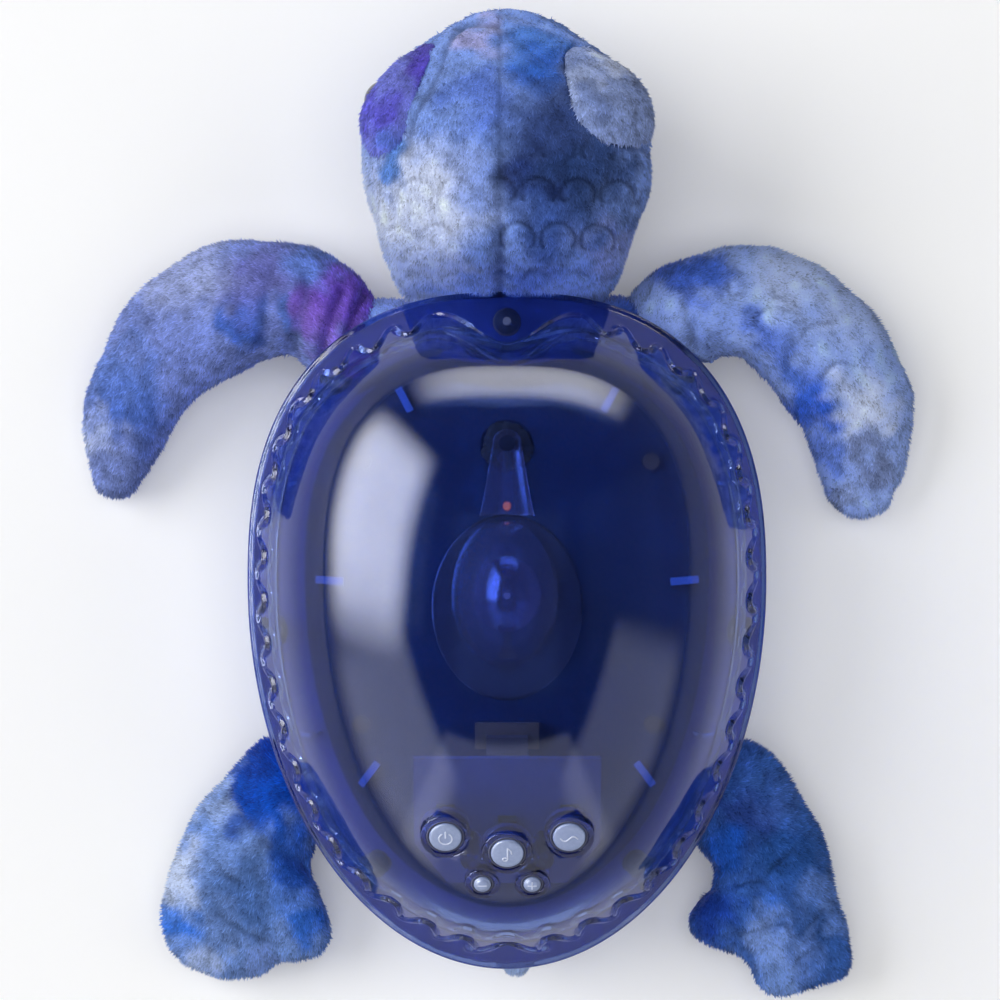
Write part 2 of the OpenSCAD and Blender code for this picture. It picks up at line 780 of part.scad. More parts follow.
cone_deep = basket_top - cone_drop;
module speaker_cone() color(black_part)
    at_speaker(speaker_base)
        rotate_extrude()
            polygon([
                [0, cone_deep + dust_dome], [dust_cap_r, cone_deep], [cone_seat, cone_lift],
                [cone_seat + surround_w, 0], [cone_seat + surround_w, surround_t],
                [cone_seat, cone_lift + cone_t], [dust_cap_r, cone_deep + cone_t],
                [0, cone_deep + dust_dome + cone_t]
            ]);

module main_board() color(board_green)
    difference() {
        at([main_board_x - main_board_size[0] / 2, main_board_y - main_board_size[1] / 2], main_board_z)
            cube(main_board_size);
        for (p = main_posts)
            at(p, main_board_z - over)
                small_pilot(main_board_size[2] + 2 * over);
    }

chip_size = [9, 9, 1.6];
cap_r = 2.5;
cap_h = 7;
cap_side = 8;
module board_chips() color(black_part)
    at([main_board_x, main_board_y], main_board_z + main_board_size[2]) {
        translate([-chip_size[0] / 2, -chip_size[1] / 2, 0])
            cube(chip_size);
        for (side = [-1, 1])
            translate([side * cap_side, 0, 0])
                cylinder(r = cap_r, h = cap_h);
    }

// Gears with involute flanks, drawn with their play taken off the teeth
pressure = 20;
tooth_out = 0.72;
tooth_in = 1.1;
flank_steps = 4;
function involute(a) = tan(a) * 180 / PI - a;
function pitch_r(n) = gear_m * n / 2;
function tooth_half(n, r) =
    let (base = pitch_r(n) * cos(pressure))
    90 / n - gear_play / pitch_r(n) * 45 / PI + involute(pressure) - involute(acos(min(1, base / r)));
function tooth_pts(n, c) =
    let (low = pitch_r(n) - tooth_in * gear_m)
    let (high = pitch_r(n) + tooth_out * gear_m)
    let (radii = [for (k = [0:flank_steps]) low + (high - low) * k / flank_steps])
    let (base = pitch_r(n) * cos(pressure))
    concat(
        [for (r = radii) let (a = c - tooth_half(n, max(r, base))) [r * cos(a), r * sin(a)]],
        [for (k = [flank_steps:-1:0])
            let (r = radii[k])
            let (a = c + tooth_half(n, max(r, base)))
            [r * cos(a), r * sin(a)]]);
module gear(n, start, t)
    linear_extrude(height = t)
        polygon([for (i = [0:n - 1]) each tooth_pts(n, start + 360 * i / n)]);

mesh_extra = 0.1;
gear_span = pitch_r(gear_teeth) + pitch_r(pinion_teeth) + mesh_extra;
pinion_y = projector_y - gear_span;
gear_top_gap = 3;
gear_z = rim_z - gear_top_gap - gear_t;
bracket_drop = 2;
bracket_top = gear_z - bracket_drop;
bracket_z = bracket_top - bracket_t;
bush_r = 3;
bush_lip_r = 4.2;
bush_lip_t = 1;
gear_hub_r = 4;
spindle_low = bracket_z - bush_lip_t;
light_top = deck_top + light_board_t + led_h;
wheel_lift = 3;
wheel_z = light_top + wheel_lift;
hub_extra = 1;
spindle_proud = 0.5;
spindle_top = wheel_z + wheel_t + hub_extra + spindle_proud;
bracket_post_r = 3.2;
bracket_rim = 1;
bracket_w = 2 * (bush_lip_r + bracket_rim);
bracket_reach = pitch_r(gear_teeth) + 5.6;
bracket_tail = 4;
bracket_spots = [
    [-bracket_reach, projector_y], [bracket_reach, projector_y], [0, pinion_y - motor_r - bracket_tail]
];
motor_screw_x = 6.5;
motor_boss_r = 3;

module at_wheel(z)
    translate([0, projector_y, z])
        children();

module spindle_gear() color(white_plastic)
    difference() {
        union() {
            at_wheel(gear_z)
                gear(gear_teeth, -90, gear_t);
            at_wheel(bracket_top + bush_lip_t + set_gap)
                cylinder(r = gear_hub_r, h = gear_t + hub_extra);
        }
        at_wheel(bracket_top)
            cylinder(r = spindle_r, h = rim_z - bracket_top);
    }

module wheel_spindle() color(steel)
    at_wheel(spindle_low)
        cylinder(r = spindle_r, h = spindle_top - spindle_low);

wheel_hub_r = 3.5;
module ripple_wheel() color(hood_clear)
    at_wheel(wheel_z)
        difference() {
            union() {
                cylinder(r = wheel_r, h = wheel_t);
                translate([0, 0, -hub_extra])
                    cylinder(r = wheel_hub_r, h = wheel_t + 2 * hub_extra);
            }
            translate([0, 0, -hub_extra - over])
                cylinder(r = spindle_r, h = wheel_t + 2 * hub_extra + 2 * over);
        }

// Flanged bushes, one in the bracket and one in the deck
module bush(h)
    difference() {
        union() {
            cylinder(r = bush_r, h = h);
            cylinder(r = bush_lip_r, h = bush_lip_t);
        }
        translate([0, 0, -over])
            cylinder(r = spindle_r + shaft_gap, h = h + 2 * over);
    }
module spindle_bushes() color(brass_tone) {
    at_wheel(bracket_top + bush_lip_t)
        mirror([0, 0, 1])
            bush(bush_lip_t + bracket_t);
    at_wheel(rim_z - bush_lip_t)
        bush(bush_lip_t + deck_t);
}

module bar_between(a, b, w) {
    d = b - a;
    translate(a)
        rotate(atan2(d[1], d[0]))
            translate([0, -w / 2])
                square([norm(d), w]);
}

module gear_bracket() color(steel)
    difference() {
        translate([0, 0, bracket_z])
            linear_extrude(height = bracket_t)
                union() {
                    for (p = bracket_spots)
                        translate([p[0], p[1]])
                            circle(r = bracket_post_r + bracket_rim);
                    bar_between(bracket_spots[0], bracket_spots[1], bracket_w);
                    bar_between([0, projector_y], bracket_spots[2], bracket_w);
                    translate([0, pinion_y])
                        circle(r = motor_r);
                }
        at_wheel(bracket_z - over)
            cylinder(r = bush_r, h = bracket_t + 2 * over);
        translate([0, pinion_y, bracket_z - over])
            cylinder(r = motor_boss_r, h = bracket_t + 2 * over);
        for (p = bracket_spots)
            at(p, bracket_z - over)
                small_pilot(bracket_t + 2 * over);
        for (side = [-1, 1])
            translate([side * motor_screw_x, pinion_y, bracket_z - over])
                small_pilot(bracket_t + 2 * over);
    }

motor_cap_h = 3;
motor_cap_inset = 0.5;
shaft_proud = 0.5;
pinion_extra = 0.4;
module at_motor(z)
    translate([0, pinion_y, z])
        children();

module motor_can() color(steel)
    difference() {
        union() {
            at_motor(bracket_z - motor_l)
                cylinder(r = motor_r, h = motor_l);
            at_motor(bracket_z - over)
                cylinder(r = motor_boss_r, h = bracket_t + over);
        }
        at_motor(bracket_z - motor_l / 2)
            cylinder(r = motor_shaft_r + shaft_gap, h = motor_l);
        for (side = [-1, 1])
            translate([side * motor_screw_x, pinion_y, bracket_top - small_screw_l - pilot_spare])
                small_pilot(small_screw_l);
    }

module motor_end_cap() color(black_part)
    at_motor(bracket_z - motor_l - motor_cap_h)
        cylinder(r = motor_r - motor_cap_inset, h = motor_cap_h);

module motor_shaft() color(steel)
    at_motor(bracket_z - motor_l / 2 + set_gap)
        cylinder(r = motor_shaft_r, h = motor_l / 2 + bracket_t + bracket_drop + gear_t + shaft_proud);

module motor_pinion() color(brass_tone)
    difference() {
        at_motor(gear_z - pinion_extra)
            gear(pinion_teeth, 90 + 180 / pinion_teeth, gear_t + 2 * pinion_extra);
        at_motor(gear_z - over)
            cylinder(r = motor_shaft_r, h = gear_t + 2 * over);
    }

module small_screws() color(screw_dark) {
    for (p = bracket_spots)
        at(p, bracket_z)
            small_screw();
    for (side = [-1, 1])
        translate([side * motor_screw_x, pinion_y, bracket_top])
            mirror([0, 0, 1])
                small_screw();
    for (p = main_posts)
        at(p, main_board_z + main_board_size[2])
            mirror([0, 0, 1])
                small_screw();
    for (p = ears)
        at(p, speaker_base + ear_t)
            mirror([0, 0, 1])
                small_screw();
    on_panel()
        for (p = post_spots)
            at(p, -board_depth - button_board_t)
                small_screw();
}

// Deck with its bracket posts, a seat for the pad and holes for what passes through it
stem_y = projector_y + stem_l;
stem_end_r = 5;
stem_root_w = 9.5;
hood_screw_r = 1.25;
hood_screw_l = 7;
hood_head_r = 2.8;
hood_head_h = 1.8;
pad_shift = 1;
pad_y = stem_y - pad_shift;
indicator_r = 1.5;
indicator_h = 4;
indicator_ahead = 5;
indicator_y = projector_y + hood_half_l + indicator_ahead;
module deck_plate() color(deck_navy)
    difference() {
        union() {
            prism(deck_inset, rim_z, deck_top);
            for (p = bracket_spots)
                at(p, bracket_top)
                    cylinder(r = bracket_post_r, h = rim_z - bracket_top + deck_t / 2);
            at([0, stem_y], rim_z - hood_screw_l + deck_t)
                cylinder(r = bracket_post_r, h = hood_screw_l - deck_t / 2);
        }
        at_wheel(rim_z - over)
            cylinder(r = bush_r, h = deck_t + 2 * over);
        for (p = bracket_spots)
            at(p, bracket_top - over)
                small_pilot(small_screw_l);
        for (a = deck_angles)
            at(edge_pt(a, deck_boss_inset), rim_z - over)
                cylinder(r = deck_screw_r + screw_gap, h = deck_t + 2 * over);
        at([0, pad_y], deck_top - pad_t)
            cylinder(r = pad_r + set_gap, h = pad_t + over);
        at([0, stem_y], deck_top - hood_screw_l + hood_flange_t)
            cylinder(r = hood_screw_r + screw_gap, h = hood_screw_l);
        at([0, indicator_y], rim_z - over)
            cylinder(r = indicator_r + screw_gap, h = deck_t + 2 * over);
    }

deck_head_r = 3;
deck_head_h = 2;
module deck_screws() color(screw_dark)
    for (a = deck_angles)
        at(edge_pt(a, deck_boss_inset), deck_top)
            union() {
                cylinder(r = deck_head_r, h = deck_head_h);
                translate([0, 0, -deck_screw_l])
                    cylinder(r = deck_screw_r, h = deck_screw_l);
            }

// Pale bars: six stand on the deck round the projector, four on the flange beside it
deck_bar_inset = 28;
deck_bar_angles = [59, 121, 0, 180, -39, 219];
flange_bar_inset = 13.2;
flange_bar_angles = [18, 162, -26, 206];
flange_bar_l = 7;
module light_bars() color(bar_pale) {
    for (a = deck_bar_angles) {
        p = edge_pt(a, deck_bar_inset);
        at(p, deck_top)
            rotate(atan2(p[1] - projector_y, p[0]))
                translate([-bar_l / 2, -bar_w / 2, 0])
                    cube([bar_l, bar_w, bar_h]);
    }
    for (a = flange_bar_angles)
        at(edge_pt(a, flange_bar_inset), rim_z)
            translate([-flange_bar_l / 2, -bar_w / 4, 0])
                cube([flange_bar_l, bar_w / 2, bar_h]);
}

// Clear hood: an oval dome on an oval flange that reaches further back, with a stem to its screw
hood_seg = 40;
hood_rings = 7;
hood_flange_back = 4.5;
hood_flange_l = 6.5;
stem_sink = 1;
stem_root_y = projector_y + hood_half_l - stem_sink;
function oval(cy, w, l, z) = [for (i = [0:hood_seg - 1])
    [w * cos(360 * i / hood_seg), cy + l * sin(360 * i / hood_seg), z]];
function hood_ring(k, wall) =
    let (t = 90 * k / hood_rings)
    oval(projector_y, (hood_half_w - wall) * sin(t), (hood_half_l - wall) * sin(t),
        deck_top + hood_flange_t + (hood_h - wall) * cos(t));
module projector_hood() color(hood_clear)
    difference() {
        union() {
            capped_skin(
                [0, projector_y, deck_top + hood_flange_t + hood_h],
                concat(
                    [for (k = [1:hood_rings]) hood_ring(k, 0)],
                    [for (z = [deck_top + hood_flange_t, deck_top])
                        oval(projector_y - hood_flange_back, hood_half_w + hood_flange_w,
                            hood_half_l + hood_flange_l, z)],
                    [oval(projector_y, hood_half_w - hood_wall, hood_half_l - hood_wall, deck_top)],
                    [for (k = [hood_rings - 1:-1:1]) hood_ring(k, hood_wall)]),
                [0, projector_y, deck_top + hood_flange_t + hood_h - hood_wall]);
            translate([0, 0, deck_top])
                linear_extrude(height = hood_flange_t)
                    union() {
                        polygon([
                            [-stem_root_w, stem_root_y], [stem_root_w, stem_root_y],
                            [stem_end_r, stem_y], [-stem_end_r, stem_y]
                        ]);
                        translate([0, stem_y])
                            circle(r = stem_end_r);
                    }
        }
        at([0, stem_y], deck_top - over)
            cylinder(r = hood_screw_r + screw_gap, h = hood_flange_t + 2 * over);
    }

module hood_pad() color(black_part)
    difference() {
        at([0, pad_y], deck_top - pad_t)
            cylinder(r = pad_r, h = pad_t);
        at([0, stem_y], deck_top - pad_t - over)
            cylinder(r = hood_screw_r + screw_gap, h = pad_t + 2 * over);
    }

module hood_screw() color(screw_dark)
    at([0, stem_y], deck_top + hood_flange_t)
        union() {
            cylinder(r = hood_head_r, h = hood_head_h);
            translate([0, 0, set_gap - hood_screw_l])
                cylinder(r = hood_screw_r, h = hood_screw_l - set_gap);
        }

module indicator_light() color(amber)
    at([0, indicator_y], deck_top - indicator_h)
        cylinder(r = indicator_r, h = indicator_h);

// Light board under the wheel, with three emitters in a reflector cup
light_ring = 9;
light_angles = [90, 210, 330];
cup_low_r = 13;
cup_high_r = 14.5;
cup_wall = 0.8;
cup_over = 1;
cup_h = led_h + cup_over;
light_board_r = 15;
bush_room = 1;
module light_board() color(white_plastic)
    at_wheel(deck_top)
        difference() {
            cylinder(r = light_board_r, h = light_board_t);
            translate([0, 0, -over])
                cylinder(r = bush_r + bush_room, h = light_board_t + 2 * over);
        }

module light_emitters() color(emitter_pale)
    at_wheel(deck_top + light_board_t)
        for (a = light_angles)
            rotate(a)
                translate([light_ring, 0, 0])
                    union() {
                        cylinder(r = led_r, h = led_h - led_r);
                        translate([0, 0, led_h - led_r])
                            sphere(r = led_r);
                    }

module reflector_cup() color(white_plastic)
    at_wheel(deck_top + light_board_t)
        rotate_extrude()
            polygon([
                [cup_low_r, 0], [cup_low_r + cup_wall, 0], [cup_high_r, cup_h], [cup_high_r - cup_wall, cup_h]
            ]);

// Button board under the panel, its switches, and the buttons themselves
board_top = 26;
board_bottom = 25;
board_cut = [11, 17];
module button_board() color(board_pale)
    on_panel()
        difference() {
            translate([0, 0, -board_depth - button_board_t])
                linear_extrude(height = button_board_t)
                    polygon([
                        [-board_half_w, board_top], [-board_half_w, board_cut[1] - board_bottom],
                        [board_cut[0] - board_half_w, -board_bottom],
                        [board_half_w - board_cut[0], -board_bottom],
                        [board_half_w, board_cut[1] - board_bottom], [board_half_w, board_top]
                    ]);
            for (p = post_spots)
                at(p, -board_depth - button_board_t - over)
                    small_pilot(button_board_t + 2 * over);
        }

module tact_switches() color(black_part)
    on_panel()
        for (b = button_spots)
            translate([b[0], b[1], -board_depth])
                difference() {
                    translate([-switch_w / 2, -switch_w / 2, 0])
                        cube([switch_w, switch_w, switch_h]);
                    translate([0, 0, switch_h - plunger_in - button_travel - set_gap])
                        cylinder(r = plunger_r + screw_gap, h = switch_h);
                }

module button(b)
    on_panel()
        translate([b[0], b[1], 0])
            union() {
                translate([0, 0, button_face(b) - collar_in - set_gap - lip_t])
                    cylinder(r = b[2] + button_play + lip_w, h = lip_t);
                translate([0, 0, button_face(b) - collar_in - set_gap - lip_t])
                    cylinder(r = b[2], h = lip_t + set_gap + collar_in + button_proud);
                translate([0, 0, stem_end])
                    cylinder(r = stem_r, h = button_face(b) - collar_in - stem_end);
            }

module plunger(b)
    on_panel()
        translate([b[0], b[1], -board_depth + switch_h - plunger_in])
            cylinder(r = plunger_r, h = plunger_in + plunger_out);

module power_button() color(button_pale) button(button_spots[0]);
module sound_button() color(button_pale) button(button_spots[1]);
module wave_button() color(button_pale) button(button_spots[2]);
module less_button() color(button_pale) button(button_spots[3]);
module more_button() color(button_pale) button(button_spots[4]);
module power_plunger() color(white_plastic) plunger(button_spots[0]);
module sound_plunger() color(white_plastic) plunger(button_spots[1]);
module wave_plunger() color(white_plastic) plunger(button_spots[2]);
module less_plunger() color(white_plastic) plunger(button_spots[3]);
module more_plunger() color(white_plastic) plunger(button_spots[4]);

// Flat cable from the button board down to its socket on the deck
socket_size = [22, 9, 5];
socket_back = 48.5;
socket_y = projector_y - socket_back;
cable_w = 14;
cable_t = 0.8;
plug_v = 20;
plug_h = 3;
plug_l = 5;
plug_sunk = 0.5;
cable_drop = 6;
cable_rise = 22;
board_under = -board_depth - button_board_t;
cable_route = [
    panel_pt(plug_v, board_under - plug_h + plug_sunk), panel_pt(plug_v, board_under - plug_h - cable_drop),
    [socket_y, deck_top + cable_rise], [socket_y, deck_top + socket_size[2]]
];
function route_side(list, i, half) =
    let (d = list[min(i + 1, len(list) - 1)] - list[max(i - 1, 0)])
    list[i] + half * [-d[1], d[0]] / norm(d);
module button_cable() color(white_plastic)
    union() {
        on_panel()
            translate([-cable_w / 2, plug_v - plug_l / 2, board_under - plug_h])
                cube([cable_w, plug_l, plug_h]);
        translate([-cable_w / 2, 0, 0])
            rotate([90, 0, 90])
                linear_extrude(height = cable_w)
                    polygon(concat(
                        [for (i = [0:3]) route_side(cable_route, i, cable_t / 2)],
                        [for (i = [3:-1:0]) route_side(cable_route, i, -cable_t / 2)]));
    }

module cable_socket() color(tan_part)
    translate([-socket_size[0] / 2, socket_y - socket_size[1] / 2, deck_top])
        cube(socket_size);

// Leads inside the base, each along points chosen by hand; across is a direction square to its bends
lead_r = 0.9;
lead_sides = 8;
lead_gap = 0.1;
bay_roof = bay_top + bay_wall + lead_gap;
board_face = main_board_z + main_board_size[2] + lead_gap;
board_back = main_board_z - lead_gap;
motor_low = bracket_z - motor_l - motor_cap_h - lead_gap;
magnet_top = speaker_base + basket_top + magnet_h + lead_gap;
battery_route = [
    [-30, 29, bay_roof], [-30, 29, 24], [-30, 28, 28], [-30, 23, 31], [-30, 18, 31], [-30, 16, 28.5],
    [-30, 16, board_face]
];
motor_route = [
    [-5, 0, motor_low], [-5, 0, 14], [-8, 0, 11], [-14, 0, 10], [-20, 0, 12], [-23, 0, 16],
    [-23, 0, board_back]
];
speaker_route = [
    [-6, -36, magnet_top], [-6, -36, 23], [-9, -33, 27], [-16, -26, 30], [-22, -20, 31], [-28, -14, 31],
    [-31, -9, 28.5], [-31, -9, board_face]
];
function lead_ring(route, i, across) =
    let (d = route[min(i + 1, len(route) - 1)] - route[max(i - 1, 0)])
    let (side = cross(d, across) / norm(cross(d, across)))
    let (up = cross(side, d) / norm(d))
    [for (k = [0:lead_sides - 1])
        let (a = 360 * k / lead_sides)
        route[i] + lead_r * (side * cos(a) + up * sin(a))];
module lead(route, across)
    capped_skin(
        route[0],
        [for (i = [0:len(route) - 1]) lead_ring(route, i, across)],
        route[len(route) - 1]);
module battery_lead() color(lead_red) lead(battery_route, [1, 0, 0]);
module motor_lead() color(lead_red) lead(motor_route, [0, 1, 0]);
module speaker_lead() color(black_part) lead(speaker_route, [1, 1, 0]);

plush_body();
head();
eyelid_left();
eyelid_right();
eyes();
front_left_flipper();
front_right_flipper();
rear_left_flipper();
rear_right_flipper();
tail();
shell_dome();
base_housing();
shell_screws();
deck_plate();
deck_screws();
light_bars();
projector_hood();
hood_pad();
hood_screw();
indicator_light();
light_board();
light_emitters();
reflector_cup();
ripple_wheel();
wheel_spindle();
spindle_gear();
spindle_bushes();
gear_bracket();
motor_can();
motor_end_cap();
motor_shaft();
motor_pinion();
small_screws();
button_board();
tact_switches();
power_button();
sound_button();
wave_button();
less_button();
more_button();
power_plunger();
sound_plunger();
wave_plunger();
less_plunger();
more_plunger();
cable_socket();
button_cable();
main_board();
board_chips();
speaker_basket();
speaker_magnet();
speaker_cone();
speaker_gasket();
battery_door();
door_screws();
battery_cells();
battery_contacts();
battery_lead();
motor_lead();
speaker_lead();
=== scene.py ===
"""Looks of a stuffed turtle night light projector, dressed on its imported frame.

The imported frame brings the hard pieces.  This script adds what the solids leave out: the sewn turtle with its
short nap, the moulded clear shell with its running wave, the hood over the projector, the button caps, the
finishes, the studio and the camera.  Lengths are millimetres until a mesh is made.
"""

from __future__ import annotations

import logging
import math
from dataclasses import dataclass, field
from enum import Enum
from functools import partial
from typing import Any, Sequence

import bpy
import numpy as np
from bpy.types import Light, Material, Mesh, Node, NodeSocket, NodeTree, Object
from mathutils import Matrix, Vector
from mathutils.kdtree import KDTree

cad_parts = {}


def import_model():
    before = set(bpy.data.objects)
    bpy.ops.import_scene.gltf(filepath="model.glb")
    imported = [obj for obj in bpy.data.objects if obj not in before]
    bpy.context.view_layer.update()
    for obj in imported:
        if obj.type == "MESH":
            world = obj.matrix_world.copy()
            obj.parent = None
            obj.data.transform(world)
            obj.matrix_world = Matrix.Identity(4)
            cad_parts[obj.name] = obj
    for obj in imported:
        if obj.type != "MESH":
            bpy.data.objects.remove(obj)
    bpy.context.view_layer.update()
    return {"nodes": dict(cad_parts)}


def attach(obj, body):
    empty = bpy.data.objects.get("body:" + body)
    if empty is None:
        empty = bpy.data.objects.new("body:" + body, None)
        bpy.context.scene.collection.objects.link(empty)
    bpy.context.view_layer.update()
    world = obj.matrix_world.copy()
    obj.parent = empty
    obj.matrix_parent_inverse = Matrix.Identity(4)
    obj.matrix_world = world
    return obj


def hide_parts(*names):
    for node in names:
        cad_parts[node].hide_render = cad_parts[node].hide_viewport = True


LOG = logging.getLogger("turtle")
MM = 0.001
TURN = 2 * math.pi
Array = np.ndarray
Plan = tuple[float, float]


def linear(code: str) -> tuple[float, float, float, float]:
    """Turn an sRGB hex value into linear red, green, blue and a full alpha.

    Args:
        code: The colour as #rrggbb.

    Returns:
        Four linear channel values.
    """
    shares = [int(code[i:i + 2], 16) / 255 for i in (1, 3, 5)]
    red, green, blue = (c / 12.92 if c <= 0.04045 else ((c + 0.055) / 1.055) ** 2.4 for c in shares)
    return red, green, blue, 1.0


def add_node(tree: NodeTree, kind: str, settings: dict[Any, Any] | None = None,
             links: dict[Any, Node | NodeSocket] | None = None) -> Node:
    """Add a node with its settings and links.

    Args:
        tree: The tree that takes the node.
        kind: Blender's name of the node type.
        settings: Values by property name, input name or input number.
        links: What feeds an input, by its name or number; a node stands for its first output.

    Returns:
        The new node.
    """
    node = tree.nodes.new(kind)
    for key, value in (settings or {}).items():
        if isinstance(key, str) and hasattr(node, key):
            setattr(node, key, value)
        else:
            node.inputs[key].default_value = value
    for key, source in (links or {}).items():
        tree.links.new(source.outputs[0] if isinstance(source, Node) else source, node.inputs[key])
    return node


def new_material(name: str, values: dict[str, Any]) -> tuple[Material, NodeTree, Node]:
    """Start a material with what is the same all over its surface.

    Args:
        name: The real material's name.
        values: The shader's values by input name.

    Returns:
        The material, its tree and its shader.
    """
    material = bpy.data.materials.new(name)
    material.use_nodes = True
    shader = material.node_tree.nodes["Principled BSDF"]
    for key, value in values.items():
        shader.inputs[key].default_value = value
    return material, material.node_tree, shader


def ease(value: Array, low: float, high: float) -> Array:
    """Smooth step from 0 to 1.

    Args:
        value: Values to turn into shares.
        low: Value that gives 0; it may be the larger one.
        high: Value that gives 1.

    Returns:
        Shares from 0 to 1.
    """
    share = np.clip((value - low) / (high - low), 0.0, 1.0)
    return share * share * (3.0 - 2.0 * share)


def mottle(points: Array, size: float, seed: int) -> Array:
    """Smooth random field over points.

    Args:
        points: Places, one row each.
        size: Usual width of a blotch.
        seed: Fixed seed of the field.

    Returns:
        One value for each point, about -1 to 1.
    """
    rng = np.random.default_rng(seed)
    total = np.zeros(len(points))
    for _ in range(9):
        way = rng.normal(size=points.shape[1])
        way /= np.linalg.norm(way)
        total += np.cos(points @ way * (TURN / (size * rng.uniform(1.4, 2.8))) + rng.uniform(0, TURN))
    return total / 3.0


def through(stations: Sequence[Sequence[float]], count: int) -> Array:
    """Smooth curve through every station.

    Args:
        stations: Points of any dimension, in order.
        count: Number of samples wanted.

    Returns:
        The samples, one row each.
    """
    s = np.asarray(stations, float)
    padded = np.vstack([2 * s[0] - s[1], s, 2 * s[-1] - s[-2]])
    place = np.linspace(0, len(s) - 1, count)
    span = np.minimum(place.astype(int), len(s) - 2)
    t = (place - span)[:, None]
    a, b, c, d = (padded[span + k] for k in range(4))
    square, cube = 2 * a - 5 * b + 4 * c - d, 3 * b - a - 3 * c + d
    return 0.5 * (2 * b + (c - a) * t + square * t ** 2 + cube * t ** 3)


def line_gap(plan: Array, line: Sequence[Plan]) -> Array:
    """Distance in plan from each point to a smooth line.

    Args:
        plan: Points, x and y in the first two columns.
        line: Points that the line passes.

    Returns:
        One distance for each point.
    """
    best = np.full(len(plan), 1e9)
    for x, y in through(line, 22 * len(line)):
        best = np.minimum(best, (plan[:, 0] - x) ** 2 + (plan[:, 1] - y) ** 2)
    return np.sqrt(best)


def link_object(obj: Object) -> Object:
    """Put an object into the scene."""
    bpy.context.scene.collection.objects.link(obj)
    return obj


def grid_faces(rows: int, columns: int, first: int = 0) -> Array:
    """Quads of a grid whose columns close on themselves.

    Args:
        rows: Number of rings.
        columns: Points in each ring.
        first: Number of the grid's first point.

    Returns:
        Point numbers of each quad.
    """
    i, j = np.meshgrid(np.arange(rows - 1), np.arange(columns), indexing="ij")
    k = (j + 1) % columns
    quads = np.stack([i * columns + j, (i + 1) * columns + j, (i + 1) * columns + k, i * columns + k], -1)
    return quads.reshape(-1, 4) + first


def fan_faces(ring: Array, pole: int, ends: bool) -> Array:
    """Triangles from a ring of points to a pole.

    Args:
        ring: Point numbers of the ring.
        pole: Number of the pole's point.
        ends: True where the pole comes after the ring.

    Returns:
        Point numbers of each triangle.
    """
    following = np.roll(ring, -1)
    tip = np.full(len(ring), pole)
    return np.stack([ring, tip, following], -1) if ends else np.stack([tip, ring, following], -1)


def step_faces(fine: Array, coarse: Array) -> Array:
    """Triangles that join a fine ring to one with a whole number of times fewer points.

    Args:
        fine: Point numbers of the fine ring.
        coarse: Point numbers of the coarse ring.

    Returns:
        Point numbers of each triangle.
    """
    ratio, faces = len(fine) // len(coarse), []
    for j in range(len(coarse)):
        here, after = coarse[j], coarse[(j + 1) % len(coarse)]
        own = [fine[(j * ratio + i) % len(fine)] for i in range(ratio + 1)]
        half = ratio // 2
        faces += [(own[i], here, own[i + 1]) for i in range(half)]
        faces.append((own[half], here, after))
        faces += [(own[i], after, own[i + 1]) for i in range(half, ratio)]
    return np.array(faces)


